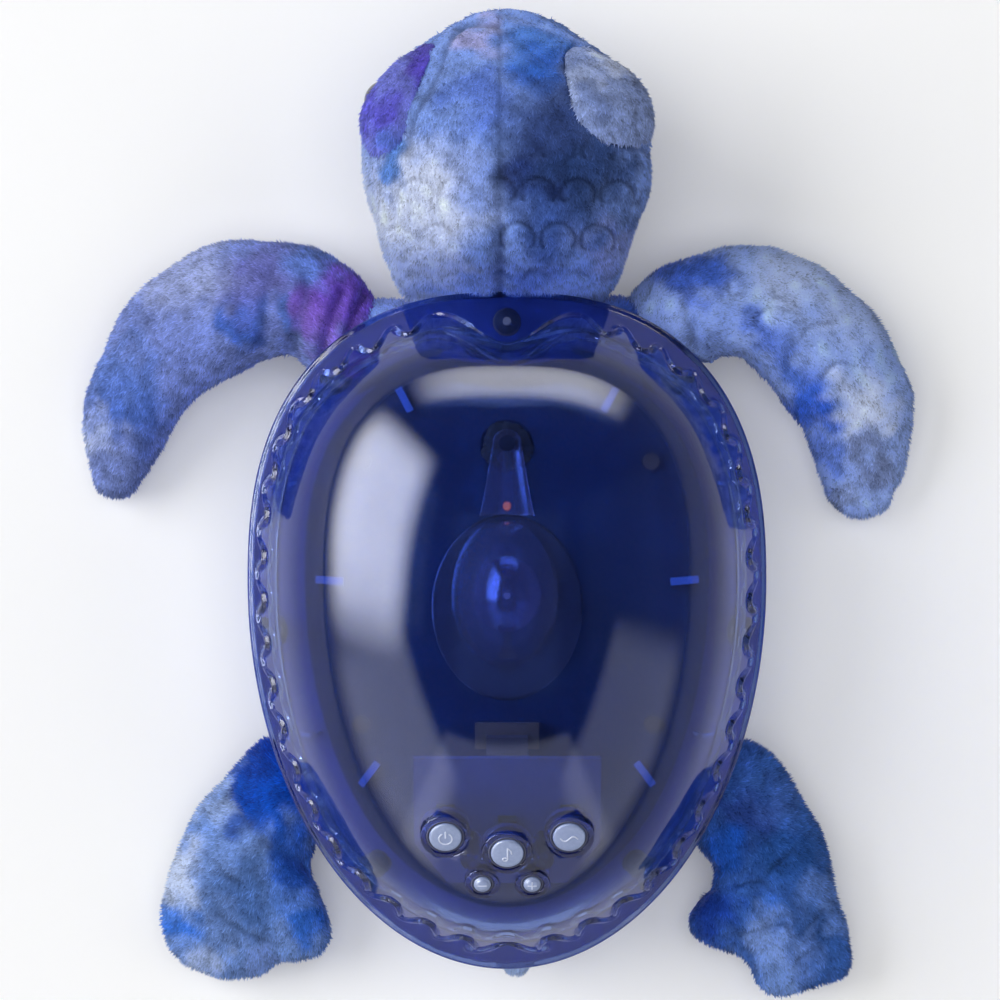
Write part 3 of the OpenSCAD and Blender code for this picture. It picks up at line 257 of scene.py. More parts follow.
@dataclass
class Skin:
    """A surface in millimetres before it becomes a mesh.

    Attributes:
        points: One row for each point.
        faces: Blocks of point numbers, each block with one number of corners.
        marks: Named values for each point that materials and node trees read.
    """

    points: Array
    faces: list[Array]
    marks: dict[str, Array] = field(default_factory=dict)

    @classmethod
    def tube(cls, rings: Array, start: Array | None = None, end: Array | None = None) -> "Skin":
        """Skin over a stack of rings.

        Args:
            rings: Array of rows, columns and three coordinates.
            start: Pole that closes the first ring, or None where the stack closes on itself.
            end: Pole that closes the last ring.

        Returns:
            A closed skin that faces outwards.
        """
        rows, columns, _ = rings.shape
        points = rings.reshape(-1, 3)
        faces = [grid_faces(rows, columns)]
        if start is None or end is None:
            last = np.arange(columns) + (rows - 1) * columns
            first = np.arange(columns)
            faces.append(np.stack([last, first, np.roll(first, -1), np.roll(last, -1)], -1))
        else:
            points = np.vstack([points, start, end])
            faces.append(fan_faces(np.arange(columns), rows * columns, False))
            faces.append(fan_faces(np.arange(columns) + (rows - 1) * columns, rows * columns + 1, True))
        return cls(points, faces).outward()

    @classmethod
    def merged(cls, parts: Sequence["Skin"]) -> "Skin":
        """Join several skins into one.

        Args:
            parts: The skins, in order; their marks are left out.

        Returns:
            One skin with all points and faces.
        """
        starts = np.cumsum([0, *(len(part.points) for part in parts)])
        faces = [block + start for part, start in zip(parts, starts) for block in part.faces]
        return cls(np.vstack([part.points for part in parts]), faces)

    def corners(self) -> Array:
        """All faces cut into triangles.

        Returns:
            Point numbers of each triangle.
        """
        blocks = []
        for block in self.faces:
            blocks.append(block[:, :3])
            if block.shape[1] == 4:
                blocks.append(block[:, [0, 2, 3]])
        return np.vstack(blocks)

    def outward(self) -> "Skin":
        """Turn the faces round where the skin is inside out.

        Returns:
            The skin itself.
        """
        a, b, c = (self.points[self.corners()[:, k]] for k in range(3))
        if np.einsum("ij,ij->i", a, np.cross(b, c)).sum() < 0:
            self.faces = [block[:, ::-1] for block in self.faces]
        return self

    def normals(self) -> Array:
        """Unit normal at each point.

        Returns:
            One row for each point.
        """
        total = np.zeros_like(self.points)
        for block in self.faces:
            p = self.points[block]
            flat = np.cross(p[:, 2] - p[:, 0], p[:, -1] - p[:, 1])
            for k in range(block.shape[1]):
                np.add.at(total, block[:, k], flat)
        return total / np.maximum(np.linalg.norm(total, axis=1, keepdims=True), 1e-9)

    def push(self, distance: Array) -> None:
        """Move each point along its normal."""
        self.points = self.points + self.normals() * distance[:, None]

    def piece(self, name: str, material: Material) -> Object:
        """Make the mesh object.

        Args:
            name: Name of the piece.
            material: Its finish.

        Returns:
            The object, at the origin.
        """
        mesh = bpy.data.meshes.new(name)
        mesh.from_pydata((self.points * MM).tolist(), [], [f for b in self.faces for f in b.tolist()])
        mesh.shade_smooth()
        kinds = {1: ("FLOAT", "value"), 3: ("FLOAT_VECTOR", "vector"), 4: ("FLOAT_COLOR", "color")}
        for key, values in self.marks.items():
            kind, slot = kinds[1 if values.ndim == 1 else values.shape[1]]
            mesh.attributes.new(key, kind, "POINT").data.foreach_set(slot, values.astype(np.float32).ravel())
        mesh.materials.append(material)
        return link_object(bpy.data.objects.new(name, mesh))


def lathe(profile: Sequence[Plan], sides: int, place: Matrix, closed: bool = False) -> Skin:
    """Turn a profile about an axis.

    Args:
        profile: Points of radius and height; the first and last lie on the axis unless the profile is closed.
        sides: Points around.
        place: Where the axis stands, in millimetres.
        closed: True for a ring, whose profile runs round on itself.

    Returns:
        The turned skin.
    """
    angle = np.arange(sides) * TURN / sides
    rows = profile if closed else profile[1:-1]
    rings = np.array([np.stack([r * np.cos(angle), r * np.sin(angle), np.full(sides, h)], -1)
                      for r, h in rows])
    poles = (None, None) if closed else (np.array([0, 0, profile[0][1]]), np.array([0, 0, profile[-1][1]]))
    skin = Skin.tube(rings, *poles)
    turn = np.array(place)
    skin.points = skin.points @ turn[:3, :3].T + turn[:3, 3]
    return skin.outward()


def cord_skin(line: Array, radius: float, sides: int = 8) -> Skin:
    """Round bead along a line with rounded ends.

    Args:
        line: Points in space, one row each.
        radius: Half the bead's width.
        sides: Points around.

    Returns:
        The closed skin.
    """
    line = np.asarray(line, float)
    ahead = np.gradient(line, axis=0)
    ahead /= np.linalg.norm(ahead, axis=1, keepdims=True)
    shrink, tilted = 0.7, np.array([0.13, 0.29, 0.95])
    lines = [line[0] - ahead[0] * radius * shrink, *line, line[-1] + ahead[-1] * radius * shrink]
    sizes = [shrink, *[1.0] * len(line), shrink]
    ways = np.vstack([ahead[0], ahead, ahead[-1]])
    side = np.cross(ways, tilted)
    side /= np.linalg.norm(side, axis=1, keepdims=True)
    lift = np.cross(side, ways)
    angle = np.arange(sides) * TURN / sides
    rings = np.array([c + radius * s * (np.cos(angle)[:, None] * a + np.sin(angle)[:, None] * b)
                      for c, s, a, b in zip(lines, sizes, side, lift)])
    return Skin.tube(rings, lines[0] - ways[0] * radius * 0.3, lines[-1] + ways[-1] * radius * 0.3)


# Finishes.


class Grain(Enum):
    """How the fine pattern of a finish lies."""

    SPECKLE = (1.0, 1.0, 1.0)
    DRAWN = (0.04, 1.0, 1.0)


@dataclass(frozen=True)
class Finish:
    """A moulded, metal, painted or foamed finish.

    Attributes:
        name: The real material's name.
        colour: Main colour.
        second: Colour of its mottling.
        roughness: Middle roughness.
        metallic: 1 for bare metal.
        grain_mm: Width of the fine pattern.
        bump_mm: Depth of the fine pattern.
        grain: How the pattern lies.
        coat: Clear coat weight.
        glow: Light that it gives off.
        gleam: Strength of its mirror-like part, 0.5 for most plastics.
    """

    name: str
    colour: str
    second: str
    roughness: float
    metallic: float = 0.0
    grain_mm: float = 0.8
    bump_mm: float = 0.02
    grain: Grain = Grain.SPECKLE
    coat: float = 0.0
    glow: float = 0.0
    gleam: float = 0.5

    def build(self) -> Material:
        """Make the material: fine grain moves colour, roughness and bump together.

        Returns:
            The material.
        """
        material, tree, shader = new_material(self.name, {
            "Metallic": self.metallic, "Coat Weight": self.coat, "Specular IOR Level": self.gleam})
        put = partial(add_node, tree)
        where = put("ShaderNodeTexCoord")
        stretch = put("ShaderNodeMapping", {"Scale": self.grain.value}, {"Vector": where.outputs["Object"]})
        fine = put("ShaderNodeTexNoise", {"Scale": 1 / (self.grain_mm * MM), "Detail": 3.0},
                   {"Vector": stretch})
        broad = put("ShaderNodeTexNoise", {"Scale": 1 / (self.grain_mm * 14 * MM), "Detail": 2.0},
                    {"Vector": where.outputs["Object"]})
        blend = put("ShaderNodeMath", {"operation": "MULTIPLY"},
                    {0: fine.outputs["Fac"], 1: broad.outputs["Fac"]})
        share = put("ShaderNodeMapRange", {"From Min": 0.12, "From Max": 0.4}, {"Value": blend})
        tint = put("ShaderNodeMix", {"data_type": "RGBA", 6: linear(self.colour), 7: linear(self.second)},
                   {0: share})
        rough = put("ShaderNodeMapRange",
                    {"To Min": max(self.roughness - 0.08, 0.02), "To Max": min(self.roughness + 0.08, 1.0)},
                    {"Value": broad.outputs["Fac"]})
        bump = put("ShaderNodeBump", {"Strength": 0.6, "Distance": self.bump_mm * MM},
                   {"Height": fine.outputs["Fac"]})
        for key, socket in (("Base Color", tint.outputs[2]), ("Roughness", rough.outputs[0]),
                            ("Normal", bump.outputs[0])):
            tree.links.new(socket, shader.inputs[key])
        if self.glow:
            shader.inputs["Emission Color"].default_value = linear(self.colour)
            shader.inputs["Emission Strength"].default_value = self.glow
        return material


@dataclass(frozen=True)
class ClearPlastic:
    """Tinted see-through plastic, such as moulded polystyrene or polycarbonate.

    Attributes:
        name: The real material's name.
        colour: Tint of a wall.
        roughness: Polish of the mould.
        transmission: Share of light that goes through.
        ior: Index of refraction.
        flow_mm: Spacing of the faint flow waves in the wall.
    """

    name: str
    colour: str
    roughness: float
    transmission: float
    ior: float
    flow_mm: float

    def build(self) -> Material:
        """Make the material: a glossy tinted wall with faint flow waves that bend its reflections.

        Returns:
            The material.
        """
        material, tree, shader = new_material(self.name, {
            "Base Color": linear(self.colour), "Roughness": self.roughness,
            "Transmission Weight": self.transmission, "IOR": self.ior})
        put = partial(add_node, tree)
        where = put("ShaderNodeTexCoord")
        flow = put("ShaderNodeTexNoise", {"Scale": 1 / (self.flow_mm * MM), "Detail": 1.0},
                   {"Vector": where.outputs["Object"]})
        bump = put("ShaderNodeBump", {"Strength": 0.15, "Distance": 0.4 * MM},
                   {"Height": flow.outputs["Fac"]})
        tree.links.new(bump.outputs[0], shader.inputs["Normal"])
        return material


@dataclass(frozen=True)
class Plush:
    """Short-napped knitted plush, printed like tie-dye.

    Attributes:
        name: The real material's name.
        depth: How dark the cloth is between the tufts.
    """

    name: str = "polyester_minky_plush"
    depth: float = 1.0

    def backing(self) -> Material:
        """Cloth under the nap: the dye a shade darker, with a knit that shows in parted places.

        Returns:
            The material.
        """
        material, tree, shader = self._start(self.name + "_backing")
        put = partial(add_node, tree)
        dye = put("ShaderNodeAttribute", {"attribute_name": "dye"})
        where = put("ShaderNodeTexCoord")
        knit = put("ShaderNodeTexNoise", {"Scale": 1 / (0.9 * MM), "Detail": 2.0},
                   {"Vector": where.outputs["Object"]})
        shade = put("ShaderNodeMapRange",
                    {"From Min": 0.3, "From Max": 0.7, "To Min": self.depth - 0.12,
                     "To Max": self.depth + 0.18}, {"Value": knit.outputs["Fac"]})
        tint = put("ShaderNodeVectorMath", {"operation": "SCALE"}, {0: dye.outputs["Color"], "Scale": shade})
        tree.links.new(tint.outputs[0], shader.inputs["Base Color"])
        bump = put("ShaderNodeBump", {"Strength": 0.8, "Distance": 0.5 * MM}, {"Height": knit.outputs["Fac"]})
        tree.links.new(bump.outputs[0], shader.inputs["Normal"])
        return material

    def nap(self) -> Material:
        """Tufts: painted shade at the root and painted light at the tip, where they are silkier, each a little
        off its neighbour's shade, which also carries painted ripples of light and shade.

        Returns:
            The material.
        """
        material, tree, shader = self._start(self.name + "_nap")
        put = partial(add_node, tree)
        dye = put("ShaderNodeAttribute", {"attribute_name": "dye"})
        tip = put("ShaderNodeAttribute", {"attribute_name": "tip"})
        shade = put("ShaderNodeAttribute", {"attribute_name": "shade"})
        # Painted shade at each tuft's root and painted light at its tip, in place of the shadows that the nap
        # doesn't cast.
        height = put("ShaderNodeMapRange", {"To Min": 0.84, "To Max": 1.48}, {"Value": tip.outputs["Fac"]})
        level = put("ShaderNodeMath", {"operation": "MULTIPLY"}, {0: height, 1: shade.outputs["Fac"]})
        channels = put("ShaderNodeSeparateColor", None, {0: dye.outputs["Color"]})
        most = put("ShaderNodeMath", {"operation": "DIVIDE", 0: 1.0}, {1: channels.outputs["Blue"]})
        limit = put("ShaderNodeMath", {"operation": "MINIMUM"}, {0: level, 1: most})
        tint = put("ShaderNodeVectorMath", {"operation": "SCALE"}, {0: dye.outputs["Color"], "Scale": limit})
        tree.links.new(tint.outputs[0], shader.inputs["Base Color"])
        return material

    def _start(self, name: str) -> tuple[Material, NodeTree, Node]:
        """Material with the soft, dull shader that both layers share."""
        return new_material(name, {"Roughness": 0.85, "Specular IOR Level": 0.04, "Sheen Weight": 0.32,
                                   "Sheen Roughness": 0.4, "Sheen Tint": linear("#c9d6ff")})


# Node trees.


def bake_tree(obj: Object, tree: NodeTree, values: dict[str, Any]) -> Mesh:
    """Run a Geometry Nodes tree on an object and return its result as a plain mesh.

    Args:
        obj: The object that the tree works on; it is left as it was.
        tree: The tree.
        values: Input values by socket name.

    Returns:
        The new mesh.
    """
    modifier = obj.modifiers.new("nodes", "NODES")
    modifier.node_group = tree
    sockets = {s.name: s.identifier for s in tree.interface.items_tree
               if s.item_type == "SOCKET" and s.in_out == "INPUT"}
    for key, value in values.items():
        modifier[sockets[key]] = value
    view = bpy.context.evaluated_depsgraph_get()
    mesh = bpy.data.meshes.new_from_object(obj.evaluated_get(view), preserve_all_data_layers=True,
                                           depsgraph=view)
    obj.modifiers.remove(modifier)
    return mesh


def open_tree(name: str, sockets: Sequence[tuple[str, str]]) -> tuple[NodeTree, Any, Any]:
    """Start a Geometry Nodes tree.

    Args:
        name: Name of the tree.
        sockets: Name and kind of each input after the geometry.

    Returns:
        The tree, its input node and its output node.
    """
    tree = bpy.data.node_groups.new(name, "GeometryNodeTree")
    tree.interface.new_socket("Geometry", in_out="INPUT", socket_type="NodeSocketGeometry")
    for label, kind in sockets:
        tree.interface.new_socket(label, in_out="INPUT", socket_type="NodeSocket" + kind)
    tree.interface.new_socket("Geometry", in_out="OUTPUT", socket_type="NodeSocketGeometry")
    return tree, add_node(tree, "NodeGroupInput"), add_node(tree, "NodeGroupOutput")


def close_tree(tree: NodeTree, given: Any, result: Any, geometry: Node) -> None:
    """End a tree: make instances real, shade them smooth and give them their material.

    Args:
        tree: The tree.
        given: Its input node.
        result: Its output node.
        geometry: What the tree has made.
    """
    put = partial(add_node, tree)
    real = put("GeometryNodeRealizeInstances", None, {"Geometry": geometry})
    smooth = put("GeometryNodeSetShadeSmooth", None, {"Geometry": real})
    dressed = put("GeometryNodeSetMaterial", None,
                  {"Geometry": smooth, "Material": given.outputs["Material"]})
    tree.links.new(dressed.outputs[0], result.inputs[0])


@dataclass
class NapTree:
    """Sows short tufts over a plush skin.

    Attributes:
        length_mm: Length of a tuft.
        radius_mm: Half a tuft's width at its root.
        lean: Share of a tuft's direction that follows the nap.
        clump_mm: Width of a clump of tufts that lean together.
        painted_ripple_mm: Width of the fine ripples of painted light and shade where the nap parts.
        tree: The tree, once it is made.
    """

    length_mm: float = 1.7
    radius_mm: float = 0.3
    lean: float = 0.62
    clump_mm: float = 4.5
    painted_ripple_mm: float = 2.6
    tree: NodeTree | None = None

    def build(self) -> NodeTree:
        """Make the tree once.

        Returns:
            The tree.
        """
        sockets = [(label, "Float") for label in ("Density", "Length", "Radius", "Lean", "Clump")]
        sockets += [("Seed", "Int"), ("Material", "Material")]
        tree, given, result = open_tree("short_nap", sockets)
        put = partial(add_node, tree)
        pile = put("GeometryNodeInputNamedAttribute", {"data_type": "FLOAT", "Name": "pile"})
        nap = put("GeometryNodeInputNamedAttribute", {"data_type": "FLOAT_VECTOR", "Name": "nap"})
        bare = put("ShaderNodeMath", {"operation": "GREATER_THAN", 1: 0.05}, {0: pile})
        amount = put("ShaderNodeMath", {"operation": "MULTIPLY"}, {0: bare, 1: given.outputs["Density"]})
        sown = put("GeometryNodeDistributePointsOnFaces", {"distribute_method": "RANDOM"},
                   {"Mesh": given.outputs["Geometry"], "Density": amount, "Seed": given.outputs["Seed"]})
        upright = put("GeometryNodeStoreNamedAttribute",
                      {"data_type": "FLOAT_VECTOR", "domain": "POINT", "Name": "base_normal"},
                      {"Geometry": sown.outputs["Points"], "Value": sown.outputs["Normal"]})
        tone = put("FunctionNodeRandomValue", {"data_type": "FLOAT", 2: 0.72, 3: 1.24},
                   {"Seed": given.outputs["Seed"]})
        where = put("GeometryNodeInputPosition")
        # Painted light and shade: fine ripples of lighter and darker tufts where the nap parts, multiplied into
        # each tuft's shade mark.
        ripple = put("ShaderNodeTexNoise", {"Scale": 1 / (self.painted_ripple_mm * MM), "Detail": 2.0},
                     {"Vector": where})
        painted_ripple_shade = put("ShaderNodeMapRange",
                     {"From Min": 0.32, "From Max": 0.68, "To Min": 0.66, "To Max": 1.34},
                     {"Value": ripple.outputs["Fac"]})
        mixed = put("ShaderNodeMath", {"operation": "MULTIPLY"}, {0: tone.outputs[1], 1: painted_ripple_shade})
        toned = put("GeometryNodeStoreNamedAttribute",
                    {"data_type": "FLOAT", "domain": "POINT", "Name": "shade"},
                    {"Geometry": upright, "Value": mixed})
        fineness = put("ShaderNodeMath", {"operation": "DIVIDE", 0: 1.0}, {1: given.outputs["Clump"]})
        wander = put("ShaderNodeTexNoise", {"Detail": 2.0}, {"Vector": where, "Scale": fineness})
        centred = put("ShaderNodeVectorMath", {"operation": "SUBTRACT", 1: (0.5, 0.5, 0.5)},
                      {0: wander.outputs["Color"]})
        clump = put("ShaderNodeVectorMath", {"operation": "SCALE", "Scale": 1.3}, {0: centred})
        shake = put("FunctionNodeRandomValue",
                    {"data_type": "FLOAT_VECTOR", 0: (-0.3, -0.3, -0.3), 1: (0.3, 0.3, 0.3)},
                    {"Seed": given.outputs["Seed"]})
        along = put("ShaderNodeVectorMath", {"operation": "SCALE"}, {0: nap, "Scale": given.outputs["Lean"]})
        rest = put("ShaderNodeMath", {"operation": "SUBTRACT", 0: 1.0}, {1: given.outputs["Lean"]})
        rise = put("ShaderNodeVectorMath", {"operation": "SCALE"}, {0: sown.outputs["Normal"], "Scale": rest})
        way = along.outputs[0]
        for part in (rise.outputs[0], clump.outputs[0], shake.outputs[0]):
            way = put("ShaderNodeVectorMath", {"operation": "ADD"}, {0: way, 1: part}).outputs[0]
        turn = put("FunctionNodeAlignRotationToVector", {"axis": "Z"}, {"Vector": way})
        tuft = put("GeometryNodeMeshCone",
                   {"fill_type": "NONE", "Vertices": 3, "Side Segments": 1, "Radius Top": 0.0},
                   {"Radius Bottom": given.outputs["Radius"], "Depth": given.outputs["Length"]})
        place = put("GeometryNodeInputPosition")
        level = put("ShaderNodeSeparateXYZ", None, {0: place})
        share = put("ShaderNodeMath", {"operation": "DIVIDE"},
                    {0: level.outputs["Z"], 1: given.outputs["Length"]})
        tipped = put("GeometryNodeStoreNamedAttribute",
                     {"data_type": "FLOAT", "domain": "POINT", "Name": "tip"},
                     {"Geometry": tuft.outputs["Mesh"], "Value": share})
        size = put("FunctionNodeRandomValue", {"data_type": "FLOAT", 2: 0.7, 3: 1.25, "Seed": 7})
        scale = put("ShaderNodeMath", {"operation": "MULTIPLY"}, {0: size.outputs[1], 1: pile})
        tufts = put("GeometryNodeInstanceOnPoints", None,
                    {"Points": toned, "Instance": tipped, "Rotation": turn, "Scale": scale})
        close_tree(tree, given, result, tufts)
        self.tree = tree
        return tree

    def sow(self, base: Object, density: float, seed: int,
            material: Material) -> Object:
        """Grow the nap of one plush piece.

        Args:
            base: The piece, with its pile, nap and dye marks.
            density: Tufts in a square millimetre.
            seed: Fixed seed of this piece.
            material: Finish of the tufts.

        Returns:
            The nap as a plain mesh object.
        """
        tree = self.tree or self.build()
        mesh = bake_tree(base, tree, {
            "Density": density / MM ** 2, "Length": self.length_mm * MM, "Radius": self.radius_mm * MM,
            "Lean": self.lean, "Clump": self.clump_mm * MM, "Seed": seed, "Material": material})
        mesh.name = base.name + "_nap"
        count = len(mesh.vertices)
        under = np.zeros(count * 3, np.float32)
        mesh.attributes["base_normal"].data.foreach_get("vector", under)
        own = np.zeros(count * 3, np.float32)
        mesh.vertex_normals.foreach_get("vector", own)
        # Tufts take most of their shading from the skin under them, as a dense pile does.
        mixed = (0.7 * under + 0.3 * own).reshape(-1, 3)
        mixed /= np.maximum(np.linalg.norm(mixed, axis=1, keepdims=True), 1e-6)
        for key in ("base_normal", "nap", "pile"):
            if key in mesh.attributes:
                mesh.attributes.remove(mesh.attributes[key])
        mesh.normals_split_custom_set_from_vertices(mixed.tolist())
        return link_object(bpy.data.objects.new(mesh.name, mesh))


@dataclass
class SleeveTree:
    """Sets moulded sleeves, such as screw bosses and button collars, on points.

    Attributes:
        tree: The tree, once it is made.
    """

    tree: NodeTree | None = None

    def build(self) -> NodeTree:
        """Make the tree once: a ring of rounded section at each point, square to the point's axis.

        Returns:
            The tree.
        """
        sockets = [(label, "Float") for label in ("Middle Radius", "Wall", "Height", "Rounding")]
        tree, given, result = open_tree("moulded_sleeves", [*sockets, ("Material", "Material")])
        put = partial(add_node, tree)
        path = put("GeometryNodeCurvePrimitiveCircle", {"mode": "RADIUS", "Resolution": 56},
                   {"Radius": given.outputs["Middle Radius"]})
        section = put("GeometryNodeCurvePrimitiveQuadrilateral", {"mode": "RECTANGLE"},
                      {"Width": given.outputs["Wall"], "Height": given.outputs["Height"]})
        rounded = put("GeometryNodeFilletCurve", {"mode": "POLY", "Count": 3},
                      {"Curve": section, "Radius": given.outputs["Rounding"]})
        ring = put("GeometryNodeCurveToMesh", None, {"Curve": path, "Profile Curve": rounded})
        axis = put("GeometryNodeInputNamedAttribute", {"data_type": "FLOAT_VECTOR", "Name": "axis"})
        turn = put("FunctionNodeAlignRotationToVector", {"axis": "Z"}, {"Vector": axis})
        rings = put("GeometryNodeInstanceOnPoints", None,
                    {"Points": given.outputs["Geometry"], "Instance": ring, "Rotation": turn})
        close_tree(tree, given, result, rings)
        self.tree = tree
        return tree

    def mould(self, name: str, spots: Array, axis: Array, outer: float, wall: float, height: float,
              material: Material) -> Object:
        """Make one set of equal sleeves.

        Args:
            name: Name of the piece.
            spots: Middle of each sleeve.
            axis: Direction that the sleeves point.
            outer: Outer radius.
            wall: Wall thickness.
            height: Length along the axis.
            material: Its finish.

        Returns:
            The sleeves as one plain mesh object.
        """
        spots = np.asarray(spots, float)
        mesh = bpy.data.meshes.new(name + "_spots")
        mesh.from_pydata((spots * MM).tolist(), [], [])
        mesh.attributes.new("axis", "FLOAT_VECTOR", "POINT").data.foreach_set(
            "vector", np.tile(axis, (len(spots), 1)).astype(np.float32).ravel())
        seat = link_object(bpy.data.objects.new(name + "_spots", mesh))
        made = bake_tree(seat, self.tree or self.build(), {
            "Middle Radius": (outer - wall / 2) * MM, "Wall": wall * MM, "Height": height * MM,
            "Rounding": min(0.5, wall * 0.3) * MM, "Material": material})
        bpy.data.objects.remove(seat)
        made.name = name
        return link_object(bpy.data.objects.new(name, made))


# The shell's outline, shared by several pieces.


@dataclass(frozen=True)
class ShellOutline:
    """Plan outline and dome of the shell, as the frame has them.

    Attributes:
        half_w: Half the widest width.
        front: From the widest line to the front edge.
        rear: From the widest line to the tail edge.
        widest_y: Place of the widest line.
        front_power: Squareness of the front half.
        rim_z: Underside of the rim.
        rim_top: Top of the rim.
        rim_w: Width of the rim outside the dome.
        dome_h: Height of the dome over the rim.
        dome_power: Fullness of the dome.
        wall: Wall thickness.
    """

    half_w: float = 89.5
    front: float = 99.5
    rear: float = 134.0
    widest_y: float = 17.25
    front_power: float = 2.45
    rim_z: float = 47.0
    rim_top: float = 51.0
    rim_w: float = 4.0
    dome_h: float = 78.0
    dome_power: float = 1.1
    wall: float = 2.6

    def edge(self, angle: Array, inset: Array | float = 0.0) -> Array:
        """Points of the outline.

        Args:
            angle: Angle about the middle of the widest line.
            inset: How far inside the outer edge.

        Returns:
            Plan points, one row each.
        """
        cosine, sine = np.cos(angle), np.sin(angle)
        power = np.where(sine >= 0, 2 / self.front_power, 1.0)
        x = (self.half_w - inset) * np.sign(cosine) * np.abs(cosine) ** power
        reach = np.where(sine >= 0, self.front - inset, self.rear - inset)
        y = self.widest_y + reach * np.sign(sine) * np.abs(sine) ** power
        return np.stack([x, y], -1)

    def dome_z(self, plan: Array) -> Array:
        """Height of the dome's outer face over plan points.

        Args:
            plan: Plan points.

        Returns:
            The height at each.
        """
        ahead = plan[..., 1] - self.widest_y
        power = np.where(ahead >= 0, self.front_power, 2.0)
        reach = np.where(ahead >= 0, self.front, self.rear) - self.rim_w
        across = np.abs(plan[..., 0]) / (self.half_w - self.rim_w)
        share = across ** power + (np.abs(ahead) / reach) ** power
        radius = np.minimum(share ** (1 / power), 1.0)
        return self.rim_top + self.dome_h * (1 - radius ** 2) ** (self.dome_power / 2)

    def inset(self, plan: Array) -> Array:
        """How far inside the outer edge each plan point lies, found by halving.

        Args:
            plan: Plan points.

        Returns:
            The inset of each.
        """
        ahead = plan[..., 1] - self.widest_y
        power = np.where(ahead >= 0, self.front_power, 2.0)
        reach = np.where(ahead >= 0, self.front, self.rear)
        low, high = np.zeros(ahead.shape), np.full(ahead.shape, self.half_w - 0.5)
        for _ in range(30):
            mid = (low + high) / 2
            across = np.abs(plan[..., 0]) / (self.half_w - mid)
            share = across ** power + (np.abs(ahead) / (reach - mid)) ** power
            low, high = np.where(share < 1, mid, low), np.where(share < 1, high, mid)
        return low

    def even_angles(self, count: int) -> tuple[Array, float]:
        """Angles evenly spaced along the edge, from the front middle round by the right side.

        Args:
            count: Number of angles.

        Returns:
            The angles and the length of the edge.
        """
        dense = math.pi / 2 - np.linspace(0, TURN, 6001)
        walk = np.concatenate([[0], np.cumsum(np.linalg.norm(np.diff(self.edge(dense), axis=0), axis=1))])
        return np.interp(np.arange(count) * walk[-1] / count, walk, dense), float(walk[-1])


OUTLINE = ShellOutline()
# Middle of the right eye bead; the left one is its mirror image.
EYE = (42.0, 182.75, 46.0)
# Place across the head of its middle seam.
HEAD_SEAM = -2.4


# The stuffed turtle.


@dataclass(frozen=True)
class DyeSpot:
    """A cloud of one dye, in plan.

    Attributes:
        x: Middle, to the right.
        y: Middle, towards the head.
        reach: Radius of the cloud.
        colour: The dye.
        strength: How far it covers what is under it.
    """

    x: float
    y: float
    reach: float
    colour: str
    strength: float


@dataclass(frozen=True)
class Groove:
    """A seam, crease or pressed line in the plush, in plan.

    Attributes:
        line: Points that it passes.
        depth: How deep it is drawn in.
        width: Half its width.
        parting: How much shorter the nap is in it; it also scales the painted shade there.
    """

    line: tuple[Plan, ...]
    depth: float
    width: float
    parting: float = 0.6


@dataclass(frozen=True)
class Stuffing:
    """How the stuffing and the dye behave, the same in every piece.

    Attributes:
        lump_mm: Width of the stuffing's lumps.
        dent_mm: Width of the small dents between them.
        dent: Depth of those dents.
        groove_shade: How much painted shade darkens the dye where a groove presses the nap flat.
        cloud_mm: Width of the broad clouds in the main dye.
        cloud: Strength of those clouds.
        stray_mm: Width of the bays in a dye's edge.
        stray: Depth of those bays.
        fringe_mm: Width of the fine fringe on that edge.
        fringe: Depth of the fringe.
        fleck_mm: Width of the fine flecks over all dyes.
        fleck: Strength of the flecks.
        outer: Share of a dye spot's reach where it ends.
        full: Share of its reach where it covers in full.
        depth: Saturation of the finished print.
    """

    lump_mm: float = 17.0
    dent_mm: float = 6.0
    dent: float = 0.25
    groove_shade: float = 0.75
    cloud_mm: float = 15.0
    cloud: float = 0.16
    stray_mm: float = 11.0
    stray: float = 3.2
    fringe_mm: float = 4.5
    fringe: float = 1.8
    fleck_mm: float = 4.0
    fleck: float = 0.14
    outer: float = 1.25
    full: float = 0.35
    depth: float = 1.1


STUFFING = Stuffing()


